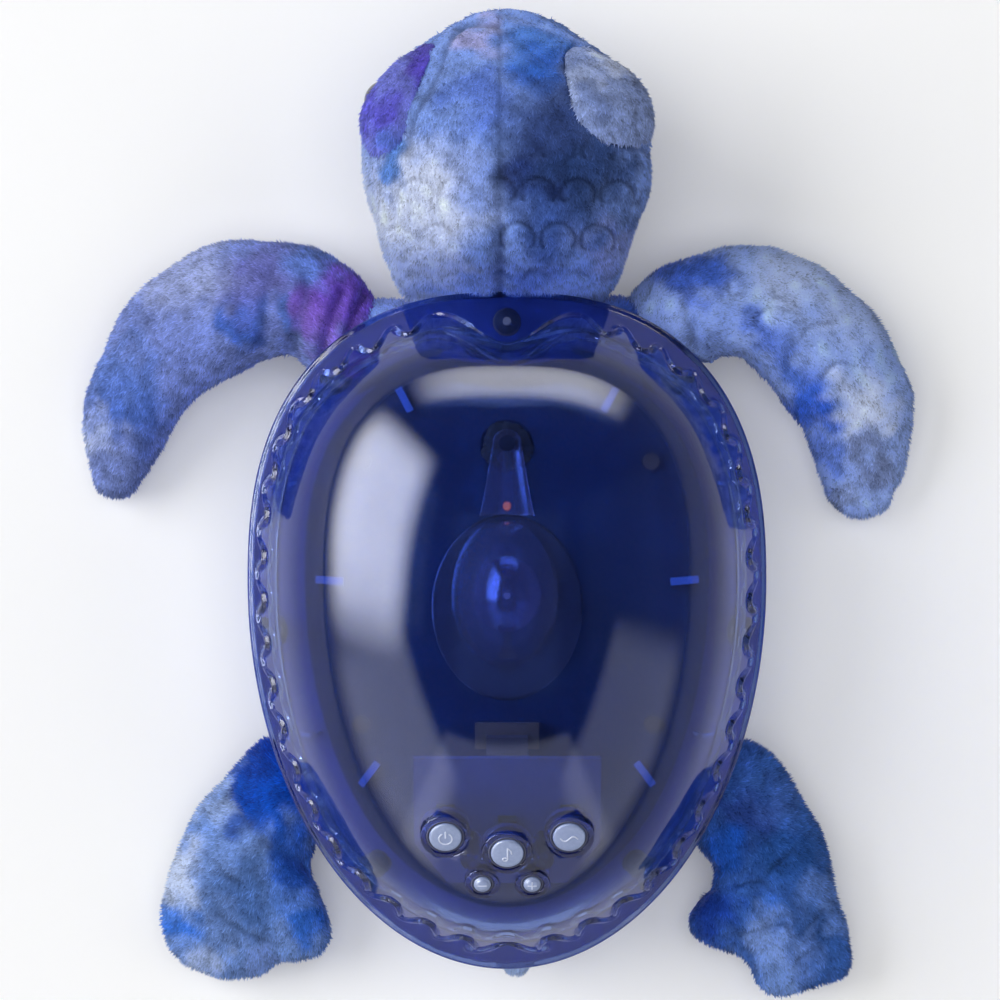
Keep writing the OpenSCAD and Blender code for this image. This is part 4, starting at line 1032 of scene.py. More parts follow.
@dataclass
class StuffedPiece:
    """One sewn and stuffed piece of the turtle.

    Attributes:
        name: Name of the piece.
        node: The frame's node that it stands for.
        base: Main dye.
        spots: Clouds of other dyes.
        grooves: Seams and creases on its upper side.
        density: Tufts in a square millimetre.
        seed: Fixed seed of its lumps, dyes and nap.
        slot: Name of its slot; not used.
        lumps: Height of the stuffing's lumps.
    """

    name: str
    node: str
    base: str
    spots: tuple[DyeSpot, ...] = ()
    grooves: tuple[Groove, ...] = ()
    density: float = 1.9
    seed: int = 1
    slot: str = "plush"
    lumps: float = 0.7

    def form(self) -> Skin:
        """Smooth skin of the piece, with its nap mark."""
        raise NotImplementedError

    def shape(self) -> Skin:
        """Form with lumps, seams and the marks that the nap reads, with painted shade along the grooves.

        Returns:
            The skin with its pile, nap and dye marks.
        """
        skin = self.form()
        normal = skin.normals()
        upper = ease(normal[:, 2], -0.15, 0.35)
        depth = self.lumps * mottle(skin.points, STUFFING.lump_mm, self.seed)
        depth = depth + STUFFING.dent * mottle(skin.points, STUFFING.dent_mm, self.seed + 1)
        pile = skin.marks.pop("pile", np.ones(len(skin.points)))
        flat = np.ones(len(skin.points))
        for groove in self.grooves:
            gap = line_gap(skin.points, groove.line)
            drawn = np.exp(-(gap / groove.width) ** 2) * upper
            depth = depth - groove.depth * drawn
            pile = pile * (1 - groove.parting * np.exp(-(gap / (groove.width * 0.8)) ** 2) * upper)
            # Painted shade: the dye is darkened along each groove, where the nap is pressed flat.
            flat = flat * (1 - STUFFING.groove_shade * groove.parting * drawn)
        # What lies on the table is pressed flat.
        lowest, clear = 0.4, ease(skin.points[:, 2], 1.5, 6.0)
        skin.push(depth * (0.3 + 0.7 * clear))
        skin.points[:, 2] = np.maximum(skin.points[:, 2], lowest)
        skin.marks["pile"] = pile * ease(skin.points[:, 2], 2.0, 5.0)
        dye = self.dyed(skin.points)
        # The dye takes the painted shade of the grooves.
        dye[:, :3] *= flat[:, None]
        skin.marks["dye"] = dye
        return skin

    def dyed(self, points: Array) -> Array:
        """Dye of each point.

        Args:
            points: Places on the skin.

        Returns:
            Linear colours, one row each.
        """
        colour = np.tile(np.array(linear(self.base)), (len(points), 1))
        cloud = mottle(points, STUFFING.cloud_mm, self.seed + 11)
        colour[:, :3] *= (1 + STUFFING.cloud * cloud)[:, None]
        stray = np.stack([mottle(points, STUFFING.stray_mm, self.seed + k) for k in (21, 22)], -1)
        fringe = np.stack([mottle(points, STUFFING.fringe_mm, self.seed + k) for k in (23, 24)], -1)
        plan = points[:, :2] + STUFFING.stray * stray + STUFFING.fringe * fringe
        for spot in self.spots:
            gap = np.hypot(plan[:, 0] - spot.x, plan[:, 1] - spot.y)
            cover = ease(gap, spot.reach * STUFFING.outer, spot.reach * STUFFING.full)
            share = (spot.strength * cover)[:, None]
            colour = colour * (1 - share) + np.array(linear(spot.colour)) * share
        colour[:, :3] *= (1 + STUFFING.fleck * mottle(points, STUFFING.fleck_mm, self.seed + 31))[:, None]
        grey = colour[:, :3].mean(axis=1, keepdims=True)
        colour[:, :3] = grey + STUFFING.depth * (colour[:, :3] - grey)
        colour[:, 3] = 1.0
        return np.clip(colour, 0.0, 1.0)

    def dress(self, cloth: Material, tufts: Material, tree: NapTree) -> list[Object]:
        """Make the piece and its nap, hang them on the turtle's body and hide the frame's node.

        Args:
            cloth: Finish of the cloth.
            tufts: Finish of the nap.
            tree: The tree that sows the nap.

        Returns:
            The piece and its nap.
        """
        piece = self.shape().piece(self.name, cloth)
        nap = tree.sow(piece, self.density, self.seed, tufts)
        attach(piece, "turtle")
        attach(nap, "turtle")
        # Tufts are far coarser than real pile, so their own shadows would blacken the nap.
        nap.visible_shadow = False
        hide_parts(self.node)
        return [piece, nap]


@dataclass
class SweptLimb(StuffedPiece):
    """A limb swept along stations of x, y, half width, half thickness and height of its middle.

    Attributes:
        anchor: Place on the shell's edge that the stations count from.
        stations: The stations, from the root out.
        tip: Step from the last station to the tip.
        rings: Rings along the limb.
        sides: Points around it.
        skip: Stations' share at the root that lies buried in the body.
    """

    anchor: Plan = (0.0, 0.0)
    stations: tuple[tuple[float, ...], ...] = ()
    tip: Plan = (0.0, -5.0)
    rings: int = 150
    sides: int = 128
    skip: float = 0.1

    def form(self) -> Skin:
        """Sweep the stations, close the tip and mark the side seams.

        Returns:
            The skin with its nap and pile marks.
        """
        squareness, seam_depth, seam_width = 0.92, 0.9, 0.0035
        rows = through(self.stations, self.rings)[int(self.skip * self.rings):]
        rows[:, :2] += np.array(self.anchor)
        cap_rings = 26
        cap = np.linspace(0, 1, cap_rings)[1:-1]
        end = np.tile(rows[-1], (len(cap), 1))
        end[:, :2] += cap[:, None] * np.array(self.tip)
        end[:, 2:4] *= np.sqrt(1 - cap ** 2)[:, None]
        rows = np.vstack([rows, end])
        ahead = np.gradient(rows[:, :2], axis=0)
        ahead[-len(cap):] = np.array(self.tip)
        ahead /= np.linalg.norm(ahead, axis=1, keepdims=True)
        angle = np.arange(self.sides) * TURN / self.sides
        wide = np.sign(np.cos(angle)) * np.abs(np.cos(angle)) ** squareness
        side = np.stack([ahead[:, 1], -ahead[:, 0]], -1)
        plan = rows[:, None, :2] + (rows[:, 2:3] * wide[None, :])[..., None] * side[:, None, :]
        level = rows[:, 4:5] + rows[:, 3:4] * np.sin(angle)[None, :]
        rings = np.concatenate([plan, level[..., None]], -1)
        seam = np.exp(-((np.abs(np.cos(angle)) - 1) / seam_width) ** 2)
        pucker = 1 + 0.6 * np.sin(np.arange(len(rows)) * 0.9)
        tip = np.array([*(rows[-1, :2] + 0.06 * np.array(self.tip)), rows[-1, 4]])
        root = np.array([*rows[0, :2], rows[0, 4]])
        skin = Skin.tube(rings, root, tip)
        drawn = np.concatenate([(pucker[:, None] * (seam_depth * seam)[None, :]).ravel(), [0, 0]])
        skin.push(-drawn)
        along = np.repeat(np.pad(ahead, ((0, 0), (0, 1))), self.sides, axis=0)
        skin.marks["nap"] = np.concatenate([along, np.zeros((2, 3))])
        skin.marks["pile"] = np.concatenate([1 - 0.5 * np.tile(seam, len(rows)), [1, 1]])
        return skin


@dataclass
class PillowLimb(StuffedPiece):
    """A flat limb stuffed like a small pillow inside an outline.

    Attributes:
        outline: Plan points of its edge, in order round it.
        middle: Plan point that sees all of the edge.
        root: Plan point where it joins the body.
        thick: Half its thickness.
        level: Height of its middle at the root and at the tip.
        columns: Points round its edge.
        rows: Rings from its middle to its edge.
    """

    outline: tuple[Plan, ...] = ()
    middle: Plan = (0.0, 0.0)
    root: Plan = (0.0, 0.0)
    thick: float = 14.0
    level: tuple[float, float] = (18.0, 12.0)
    columns: int = 300
    rows: int = 62

    def form(self) -> Skin:
        """Blow up the outline: crowned on top, flatter below, with a drawn-in seam round its edge.

        Returns:
            The skin with its nap and pile marks.
        """
        fullness, rounding, belly, thinning, seam_depth = 2.6, 0.52, -0.92, 0.33, 0.8
        edge = through((*self.outline, self.outline[0]), self.columns + 1)[:-1]
        middle = np.array(self.middle)
        share = np.sin(np.linspace(0, 1, self.rows + 1)[1:] * math.pi / 2)
        crown = (1 - share ** fullness) ** rounding
        reach = np.linalg.norm(np.array(self.outline) - np.array(self.root), axis=1).max()
        rings, naps = [], []
        for part, up in ((range(self.rows), 1.0), (range(self.rows - 2, -1, -1), belly)):
            for k in part:
                plan = middle + share[k] * (edge - middle)
                far = np.clip(np.linalg.norm(plan - np.array(self.root), axis=1) / reach, 0, 1)
                level = self.level[0] + (self.level[1] - self.level[0]) * far
                thick = self.thick * (1 - thinning * far ** 2)
                level = np.maximum(level, thick * 0.95 + 0.6)
                rings.append(np.column_stack([plan, level + up * thick * crown[k]]))
                naps.append(np.column_stack([plan - np.array(self.root), np.zeros(len(plan))]))
        top = np.append(middle, rings[0][:, 2].mean() + 0.02)
        low = np.append(middle, rings[-1][:, 2].mean() - 0.02)
        skin = Skin.tube(np.array(rings), top, low)
        nap = np.vstack([np.vstack(naps), np.zeros((2, 3))])
        skin.marks["nap"] = nap / np.maximum(np.linalg.norm(nap, axis=1, keepdims=True), 1e-6)
        row = np.repeat(np.arange(len(rings)), self.columns)
        seam = np.concatenate([np.exp(-((row - (self.rows - 1)) / 1.3) ** 2), [0, 0]])
        skin.push(-seam_depth * seam)
        skin.marks["pile"] = 1 - 0.4 * seam
        return skin


@dataclass
class Head(StuffedPiece):
    """The turtle's head, lofted along stations ahead of the shell.

    Attributes:
        front_y: The shell's front edge.
        crown_z: Highest point of the head.
        path: Stations of distance ahead, half width, underside and top below the crown.
        tip: Distance ahead and height of the beak's tip.
        rings: Rings along the head.
        sides: Points around it.
        buried: Rings at the neck end that are left out, because they lie in the body.
        arch_at: Middle of one scale arch.
        arch_pitch: Distance of two arches across the head.
        arch_step: Distance of two rows of arches.
        arch_r: Radius of an arch.
        arch_line: Half the width of an arch's pressed line.
    """

    front_y: float = 116.75
    crown_z: float = 90.0
    path: tuple[tuple[float, float, float, float], ...] = (
        (-16, 30, 8, 52), (-3, 34, 8, 48), (3, 37.5, 9, 30), (10, 40, 10, 13), (18, 42.5, 10, 4.5),
        (31, 46.8, 10, 0.5), (45, 49.2, 10, 0), (58, 49.2, 11, 2), (66, 47.5, 13, 6), (74, 42.5, 16, 12),
        (81, 35, 20, 19), (88, 26, 26, 28), (93, 18.5, 31, 36), (96.5, 11, 37, 42))
    tip: tuple[float, float] = (98.0, 44.0)
    rings: int = 210
    sides: int = 224
    buried: int = 8
    arch_at: Plan = (3.5, 133.0)
    arch_pitch: float = 13.8
    arch_step: float = 15.2
    arch_r: float = 5.9
    arch_line: float = 0.95

    def sections(self) -> Array:
        """Stations along the head: place, half width, middle height and half height.

        Returns:
            One row for each station.
        """
        rows = through(self.path, self.rings)[self.buried:]
        top = self.crown_z - rows[:, 3]
        return np.column_stack([self.front_y + rows[:, 0], rows[:, 1], (top + rows[:, 2]) / 2,
                                (top - rows[:, 2]) / 2])

    def form(self) -> Skin:
        """Loft the stations; the nap runs from the beak back to the neck.

        Returns:
            The skin with its nap and pile marks.
        """
        rows = self.sections()
        angle = np.arange(self.sides) * TURN / self.sides
        x = rows[:, 1:2] * np.cos(angle)
        z = rows[:, 2:3] + rows[:, 3:4] * np.sin(angle)
        y = np.repeat(rows[:, 0:1], self.sides, axis=1)
        start = np.array([0, rows[0, 0], rows[0, 2]])
        skin = Skin.tube(np.stack([x, y, z], -1), start,
                         np.array([0, self.front_y + self.tip[0], self.tip[1]]))
        skin.marks["nap"] = np.tile(np.array([0.0, -1.0, 0.0]), (len(skin.points), 1))
        skin.marks["pile"] = ease(skin.points[:, 1], self.front_y - 8, self.front_y - 2)
        return skin

    def shape(self) -> Skin:
        """Add the pressed scale arches over the back of the head with painted shade in their lines, and trim
        the nap round the eyes.

        Returns:
            The skin with all its marks.
        """
        skin = super().shape()
        x, y = skin.points[:, 0], skin.points[:, 1]
        upper = ease(skin.normals()[:, 2], 0.1, 0.5)
        row = np.round((y - self.arch_at[1]) / self.arch_step)
        shift = np.where(row % 2 == 0, 0.0, self.arch_pitch / 2)
        column = np.round((x - self.arch_at[0] - shift) / self.arch_pitch)
        u = x - self.arch_at[0] - shift - column * self.arch_pitch
        v = y - self.arch_at[1] - row * self.arch_step
        # An arch is the front part of a flattened circle; behind it there is no line.
        gap = np.where(v > -3.0, np.abs(np.hypot(u, v * 1.15) - self.arch_r), 9.0)
        # The arches fade towards the brow and the neck and are fainter left of the middle seam.
        reach = ease(y, 172, 156) * ease(y, 116, 124) * np.where(x > HEAD_SEAM, 1.0, 0.45)
        arch = np.exp(-(gap / self.arch_line) ** 2) * upper * reach
        skin.push(-arch)
        # Painted shade: the dye is darkened in the arches' pressed lines.
        skin.marks["dye"][:, :3] *= (1 - 0.6 * arch)[:, None]
        bare = np.linalg.norm((np.abs(skin.points) - np.array(EYE)) * np.array([0.3, 1, 1]), axis=1)
        skin.marks["pile"] = skin.marks["pile"] * (1 - 0.72 * arch) * ease(bare, 5.0, 7.5)
        return skin


@dataclass
class Eyelid(StuffedPiece):
    """A small padded lid sewn on the head over one eye.

    Attributes:
        side: -1 for the left lid and 1 for the right.
        middle: Degrees up the head's side and place along it.
        half: Half its spread in degrees and half its length.
        rise: How far it stands out of the head.
        head: The head that it is sewn to.
    """

    side: float = 1.0
    middle: Plan = (29.0, 182.0)
    half: Plan = (20.5, 19.5)
    rise: float = 3.6
    head: Head | None = None

    def form(self) -> Skin:
        """Raise a rounded patch of the head's skin and close it just under that skin.

        Returns:
            The skin with its nap and pile marks.
        """
        rows, sides, squareness, buried = 40, 150, 0.8, -1.2
        angle = np.arange(sides) * TURN / sides
        share = np.sin(np.linspace(0, 1, rows + 1)[1:] * math.pi / 2)
        square = [np.sign(t) * np.abs(t) ** squareness for t in (np.cos(angle), np.sin(angle))]
        stations = self.head.sections()
        rings = []
        for part, lift in ((share, True), (share[-2::-1], False)):
            for r in part:
                turn = np.radians(self.middle[0] + self.half[0] * r * square[0])
                y = self.middle[1] + self.half[1] * r * square[1]
                wide, mid, tall = (np.interp(y, stations[:, 0], stations[:, k]) for k in (1, 2, 3))
                out = self.rise * (1 - r ** 2.4) ** 0.5 if lift else buried * (1 - r ** 4)
                x = self.side * (wide + out) * np.cos(turn)
                rings.append(np.column_stack([x, y, mid + (tall + out) * np.sin(turn)]))
        skin = Skin.tube(np.array(rings), rings[0].mean(axis=0), rings[-1].mean(axis=0))
        skin.marks["nap"] = np.tile(np.array([0.0, -1.0, 0.0]), (len(skin.points), 1))
        top = np.repeat(np.arange(len(rings)) < rows, sides)
        skin.marks["pile"] = np.concatenate([top, [1, 0]]).astype(float)
        return skin


@dataclass
class BodyRing(StuffedPiece):
    """The stuffed ring under the shell's rim, round the base.

    Attributes:
        low: Its lowest level.
        high: Its highest level.
        inner: Inset of its inner wall.
        profile: Height share and inset of its outer face, from the top down.
        shoulder: How far it swells out beside the neck.
        columns: Points round the shell's outline.
    """

    low: float = 0.5
    high: float = 43.7
    inner: float = 27.2
    profile: tuple[Plan, ...] = ((1, 17), (0.9, 9), (0.72, 4), (0.5, 3), (0.3, 5), (0.12, 10), (0, 18))
    shoulder: float = 8.0
    columns: int = 600

    def form(self) -> Skin:
        """Turn the profile round the shell's outline.

        Returns:
            The skin with its nap and pile marks.
        """
        left, right, spread, deepest = -246, 66, 9, 16
        angle, _ = OUTLINE.even_angles(self.columns)
        swell = self.shoulder * (np.exp(-((np.degrees(angle) - right) / spread) ** 2)
                                 + np.exp(-((np.degrees(angle) - left) / spread) ** 2))
        outer = through([(a * (self.high - self.low) + self.low, b) for a, b in self.profile], 66)
        inside = np.column_stack([np.linspace(self.low, self.high, 6), np.full(6, self.inner)])
        rings, bare = [], []
        for z, inset in np.vstack([outer, inside]):
            plan = OUTLINE.edge(angle, inset - swell * (inset < deepest) * (1 - (inset / deepest) ** 2))
            rings.append(np.column_stack([plan, np.full(len(angle), z)]))
            bare.append(0.0 if inset > self.inner - 0.5 else 1.0)
        skin = Skin.tube(np.array(rings))
        centre = np.array([0, OUTLINE.widest_y, 0])
        # The nap runs a little outwards and mostly down.
        nap = (skin.points - centre) * np.array([1, 1, 0])
        nap = nap / np.linalg.norm(nap, axis=1, keepdims=True) * 0.4 + np.array([0, 0, -0.9])
        skin.marks["nap"] = nap
        skin.marks["pile"] = np.repeat(bare, self.columns)
        return skin


# The clear shell.


@dataclass
class WaveShell:
    """The clear domed shell with a flat skirt, a running wave between skirt and dome, and screw bosses.

    Attributes:
        columns: Points round the edge in the band with the wave.
        step: How many times fewer points the dome has.
        arch: Half the length of the wave's large arch at the front.
        arch_in: How far that arch dips in.
        tail_arch: Half the length of the wave's arch at the tail.
        pitch: Length of one running wave.
        least: Least inset of the wave at head and tail, and how much less it is along the sides.
        most: Most inset of the wave at head and tail, and how much less it is along the sides.
        front_turn: Distances from the front middle between which the front becomes a side.
        tail_turn: Distances from the tail's middle between which the tail becomes a side.
        bead: Radius of the bead on the arches.
        run_bead: Radius of the bead at the start of a running wave, and how much it grows.
        bead_rise: How far a bead stands out, as a share of its radius.
        band: Half the width of the finely divided band that carries the bead.
        skirt_lift: Height of the skirt over the frame's rim.
        skirt_from: Inset where the skirt starts to rise.
        skirt_slope: Rise of the skirt.
        skirt_wall: Thickness of the skirt, measured straight down.
        foot_slope: Rise of the dome's foot inside the wave.
        foot_blend: Height over which the foot turns into the dome.
        boss_angles: Degrees at which the screw bosses stand.
        boss_inset: Place of a boss inside the edge.
        boss_r: Radius of a boss.
        boss_wall: Wall of a boss.
        boss_h: Height of a boss.
        seat: Radius and height over the rim of a boss seat's outline.
        run: One running wave, as shares of its length and of its depth.
    """

    columns: int = 1120
    step: int = 4
    arch: float = 27.0
    arch_in: float = 19.5
    tail_arch: float = 12.0
    pitch: float = 15.2
    least: Plan = (6.2, 2.9)
    most: Plan = (10.6, 3.8)
    front_turn: Plan = (45.0, 95.0)
    tail_turn: Plan = (25.0, 80.0)
    bead: float = 1.15
    run_bead: Plan = (0.6, 0.75)
    bead_rise: float = 1.05
    band: float = 1.9
    skirt_lift: float = 0.4
    skirt_from: float = 1.5
    skirt_slope: float = 1.25
    skirt_wall: float = 2.9
    foot_slope: float = 2.6
    foot_blend: float = 8.0
    boss_angles: tuple[float, ...] = (90, 47, 133, -8, 188, -54, 234)
    boss_inset: float = 10.8
    boss_r: float = 4.2
    boss_wall: float = 2.6
    boss_h: float = 7.2
    seat: tuple[Plan, ...] = ((0, 0.55), (1.5, 0.55), (1.7, 0.3), (4.6, 0.3), (4.9, 0.1), (4.9, 0.02),
                              (0, 0.02))
    run: tuple[Plan, ...] = ((-0.22, 0.34), (-0.1, 0.1), (0.06, 0.0), (0.26, 0.2), (0.46, 0.68), (0.64, 0.98),
                             (0.8, 0.97), (0.92, 0.72), (0.99, 0.4))

    def __post_init__(self) -> None:
        """Lay out the waves along the edge."""
        self.angles, self.length = OUTLINE.even_angles(6000)
        self.half = self.length / 2
        self.middle = np.array([0.0, OUTLINE.widest_y])
        self.curve = through(self.run, 90)
        run = self.half - self.tail_arch - self.arch
        self.count = round(run / self.pitch)
        self.pitch = run / self.count

    def angle_at(self, walk: Array) -> Array:
        """Angle at each distance along the edge from the front middle."""
        table = np.append(self.angles, self.angles[0] - TURN)
        return np.interp(walk % self.length, np.linspace(0, self.length, len(table)), table)

    def margin(self, walk: Array) -> tuple[Array, Array]:
        """Least and most inset of the running wave: narrow at the steep sides, wide at head and tail.

        Args:
            walk: Distance from the front middle along the nearer side.

        Returns:
            Both insets for each distance.
        """
        front = ease(walk, *self.front_turn)
        side = front * ease(walk, self.half - self.tail_turn[0], self.half - self.tail_turn[1])
        return self.least[0] - self.least[1] * side, self.most[0] - self.most[1] * side

    def wave(self, walk: Array) -> Array:
        """Inset of the line between skirt and dome.

        Args:
            walk: Distance from the front middle along the nearer side.

        Returns:
            The inset for each distance.
        """
        least, most = self.margin(walk)
        share = np.interp(((walk - self.arch) / self.pitch) % 1.0, self.curve[:, 0], self.curve[:, 1])
        inset = least + (most - least) * share
        dip = least + (self.arch_in - least) * (1 + np.cos(math.pi * np.minimum(walk / self.arch, 1))) / 2
        rest = np.clip((self.half - walk) / self.tail_arch, 0, 1)
        bow = least + (most - least) * (1 + np.cos(math.pi * rest)) / 2
        return np.where(walk < self.arch, dip, np.where(walk > self.half - self.tail_arch, bow, inset))

    def reach(self, walk: Array) -> Array:
        """Inset that the wave never passes.

        Args:
            walk: Distance from the front middle along the nearer side.

        Returns:
            The inset for each distance.
        """
        _, most = self.margin(walk)
        dip = (self.arch_in - 8) * (1 + np.cos(math.pi * np.minimum(walk / (self.arch * 1.15), 1))) / 2
        return most + dip

    def skirt(self, inset: Array) -> Array:
        """Height of the sloped skirt at each inset."""
        return OUTLINE.rim_top + self.skirt_lift + self.skirt_slope * (inset - self.skirt_from)

    def dome(self, plan: Array, inset: Array, near: Array) -> Array:
        """Height of the dome's outer face, with a sloped foot that grows out of the skirt.

        Args:
            plan: Plan points.
            inset: Their inset from the edge.
            near: Distance of each from the front middle, along the edge.

        Returns:
            The height of each point.
        """
        least, _ = self.margin(near)
        foot = self.skirt(least) + self.foot_slope * (inset - least)
        full = OUTLINE.dome_z(plan)
        share = np.clip(0.5 + (full - foot) / self.foot_blend, 0, 1)
        return full * (1 - share) + foot * share - self.foot_blend / 2 * share * (1 - share)

    def level(self, plan: Array, inset: Array, wave: Array, near: Array) -> Array:
        """Height of the outer face.

        Args:
            plan: Plan points.
            inset: Their inset from the edge.
            wave: Inset of the wave beside each.
            near: Distance of each from the front middle, along the edge.

        Returns:
            The height of each point.
        """
        rounding = 1.3
        skirt = self.skirt(np.maximum(inset, self.skirt_from)) - np.clip(1 - inset / rounding, 0, 1) ** 2
        outside = ease(wave - inset, -0.3, 1.3)
        return np.maximum(self.dome(plan, inset, near), skirt) * (1 - outside) + skirt * outside

    def beads(self) -> tuple[Array, Array]:
        """Middle line of every bead of the wave.

        Returns:
            Points along the lines, and the bead's radius at each.
        """
        front = np.linspace(0, self.arch, 90)
        tail = np.linspace(self.half - self.tail_arch * 1.25, self.half, 60)
        lines = [(front, self.wave(front), np.full(len(front), self.bead)),
                 (tail, self.wave(np.maximum(tail, self.half - self.tail_arch)),
                  np.full(len(tail), self.bead))]
        for k in range(self.count):
            share = self.curve[self.curve[:, 0] > (0 if k == 0 else -1)]
            walk = self.arch + (k + share[:, 0]) * self.pitch
            least, most = self.margin(walk)
            size = self.run_bead[0] + self.run_bead[1] * ease(share[:, 0], -0.2, 0.7)
            lines.append((walk, least + (most - least) * share[:, 1], size))
        places, sizes = [], []
        for walk, inset, size in lines:
            for way in (1, -1):
                plan = OUTLINE.edge(self.angle_at(way * walk), inset)
                places.append(np.column_stack([plan, self.level(plan, inset, inset, walk)]))
                sizes.append(size)
        return np.vstack(places), np.concatenate(sizes)

    def outer_band(self) -> tuple[Array, Array]:
        """Rings of the band from above the wave out to the edge.

        Returns:
            The rings, and the distance of each column from the front middle.
        """
        walk = np.arange(self.columns) * self.length / self.columns
        near = np.minimum(walk, self.length - walk)
        angle = self.angle_at(walk)
        wave = np.mean([self.wave(np.clip(near + d, 0, self.half)) for d in np.linspace(-1.0, 1.0, 5)],
                       axis=0)
        top = np.maximum(self.reach(near) + 4.5, wave + 3.5)
        rows = [top + (wave + self.band - top) * s for s in np.linspace(0, 1, 12)[:-1]]
        rows += [wave + e for e in np.linspace(self.band, -self.band, 28)]
        rows += [(wave - self.band) * s for s in np.linspace(1, 0, 13)[1:]]
        rings = []
        for inset in rows:
            plan = OUTLINE.edge(angle, inset)
            rings.append(np.column_stack([plan, self.level(plan, inset, wave, near)]))
        return np.array(rings), near

    def beaded(self, band: Array) -> Array:
        """Raise the wave's bead out of the band.

        Args:
            band: Rings of the band.

        Returns:
            The rings with the bead on them.
        """
        places, sizes = self.beads()
        tree = KDTree(len(places))
        for i, place in enumerate(places):
            tree.insert(place, i)
        tree.balance()
        flat = band.reshape(-1, 3)
        found = [tree.find(point) for point in flat]
        size = sizes[[near[1] for near in found]]
        gap = np.array([near[2] for near in found]) / size
        proud = np.sqrt(np.clip(1 - gap ** 2, 0, 1)) * size * self.bead_rise
        normal = Skin(flat, [grid_faces(*band.shape[:2])]).normals()
        normal *= np.where(normal[:, 2:3] < -0.2, -1.0, 1.0)
        return (flat + normal * proud[:, None]).reshape(band.shape)

    def upper_rings(self, start: Array, near: Array) -> Array:
        """Rings of the dome's outer face, from the crown down.

        Args:
            start: The band's top ring, which the last of these rings meets.
            near: Distance of each column from the front middle.

        Returns:
            The rings.
        """
        rings = []
        for share in np.sin(np.linspace(0, 1, 36)[1:-1] * math.pi / 2) ** 1.15:
            plan = self.middle + (start[:, :2] - self.middle) * share
            rings.append(np.column_stack([plan, self.dome(plan, OUTLINE.inset(plan), near)]))
        return np.array(rings)

    def lip_rings(self, angle: Array) -> Array:
        """Rings round the rim's outer edge, down to its underside.

        Args:
            angle: Angle of each column.

        Returns:
            The rings.
        """
        steps = ((0.0, 1.6), (0.35, 0.3), (1.0, 0.0))
        return np.array([np.column_stack([OUTLINE.edge(angle, inset),
                                          np.full(len(angle), OUTLINE.rim_z + up)]) for inset, up in steps])

    def under_rings(self, angle: Array, near: Array) -> Array:
        """Rings of the skirt's underside and the dome's inner face, up to the crown.

        Args:
            angle: Angle of each column.
            near: Distance of each column from the front middle.

        Returns:
            The rings.
        """
        seat, foot = 3.6, OUTLINE.rim_w + OUTLINE.wall
        base = np.maximum(self.reach(near) + 2.4, foot)
        rings = []
        for share in np.linspace(0, 1, 8):
            inset = seat + (base - seat) * share
            z = np.maximum(OUTLINE.rim_z, self.skirt(inset) - self.skirt_wall)
            rings.append(np.column_stack([OUTLINE.edge(angle, inset), z]))
        floor = rings[-1][:, 2]
        for fall in np.linspace(math.pi / 2, 0, 40)[1:-1]:
            inset = foot + (base - foot) * math.sin(fall) ** 8
            plan = self.middle + (OUTLINE.edge(angle, inset) - self.middle) * math.sin(fall)
            z = OUTLINE.rim_top + (OUTLINE.dome_h - OUTLINE.wall) * math.cos(fall) ** OUTLINE.dome_power
            rings.append(np.column_stack([plan, np.maximum(floor, z)]))
        return np.array(rings)

    def skin(self) -> Skin:
        """The whole shell: dome, wave band, rim, underside of the skirt and inner face.

        Returns:
            The closed skin.
        """
        band, near = self.outer_band()
        band = self.beaded(band)
        angle = self.angle_at(np.arange(self.columns) * self.length / self.columns)
        upper = self.upper_rings(band[0, ::self.step], near[::self.step])
        wide = np.concatenate([band, self.lip_rings(angle)])
        under = self.under_rings(angle[::self.step], near[::self.step])
        blocks = [rings.reshape(-1, 3) for rings in (upper, wide, under)]
        first, second, end = np.cumsum([len(block) for block in blocks])
        crown = OUTLINE.rim_top + OUTLINE.dome_h
        points = np.vstack([*blocks, [*self.middle, crown], [*self.middle, crown - OUTLINE.wall]])
        few = self.columns // self.step
        ring, fine = np.arange(few), np.arange(self.columns)
        faces = [fan_faces(ring, end, False), grid_faces(len(upper), few),
                 step_faces(first + fine, first - few + ring)[:, ::-1],
                 grid_faces(len(wide), self.columns, first),
                 step_faces(second - self.columns + fine, second + ring), grid_faces(len(under), few, second),
                 fan_faces(end - few + ring, end + 1, True)]
        return Skin(points, faces).outward()

    def dress(self, clear: Material, seat: Material, sleeves: SleeveTree,
              panel: "ButtonPanel") -> list[Object]:
        """Make the shell with its button holes, and its bosses on their seats.

        Args:
            clear: Finish of the shell.
            seat: Finish of the dark seats under the bosses.
            sleeves: The tree that moulds the bosses.
            panel: The panel whose buttons go through the shell.

        Returns:
            The pieces made.
        """
        shell = self.skin().piece("clear_shell", clear)
        for cutter in panel.cutters(clear):
            cut = shell.modifiers.new("hole", "BOOLEAN")
            cut.operation, cut.solver, cut.object = "DIFFERENCE", "EXACT", cutter
            view = bpy.context.evaluated_depsgraph_get()
            holed = bpy.data.meshes.new_from_object(shell.evaluated_get(view), depsgraph=view)
            shell.modifiers.remove(cut)
            shell.data = holed
            bpy.data.objects.remove(cutter)
        spots = OUTLINE.edge(np.radians(self.boss_angles), self.boss_inset)
        tall = np.column_stack([spots, np.full(len(spots), OUTLINE.rim_z + self.boss_h / 2)])
        bosses = sleeves.mould("shell_bosses", tall, np.array([0, 0, 1.0]), self.boss_r, self.boss_wall,
                               self.boss_h, clear)
        discs = [lathe(self.seat, 40, Matrix.Translation((x, y, OUTLINE.rim_z))) for x, y in spots]
        seats = Skin.merged(discs).piece("boss_seats", seat)
        # A clear wall would darken the deck as if it let no light through, so it casts no shadow.
        for piece in (shell, bosses):
            piece.visible_shadow = False
        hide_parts("shell_dome")
        made = [shell, bosses, seats]
        for piece in made:
            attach(piece, "turtle")
        return made


# Buttons.


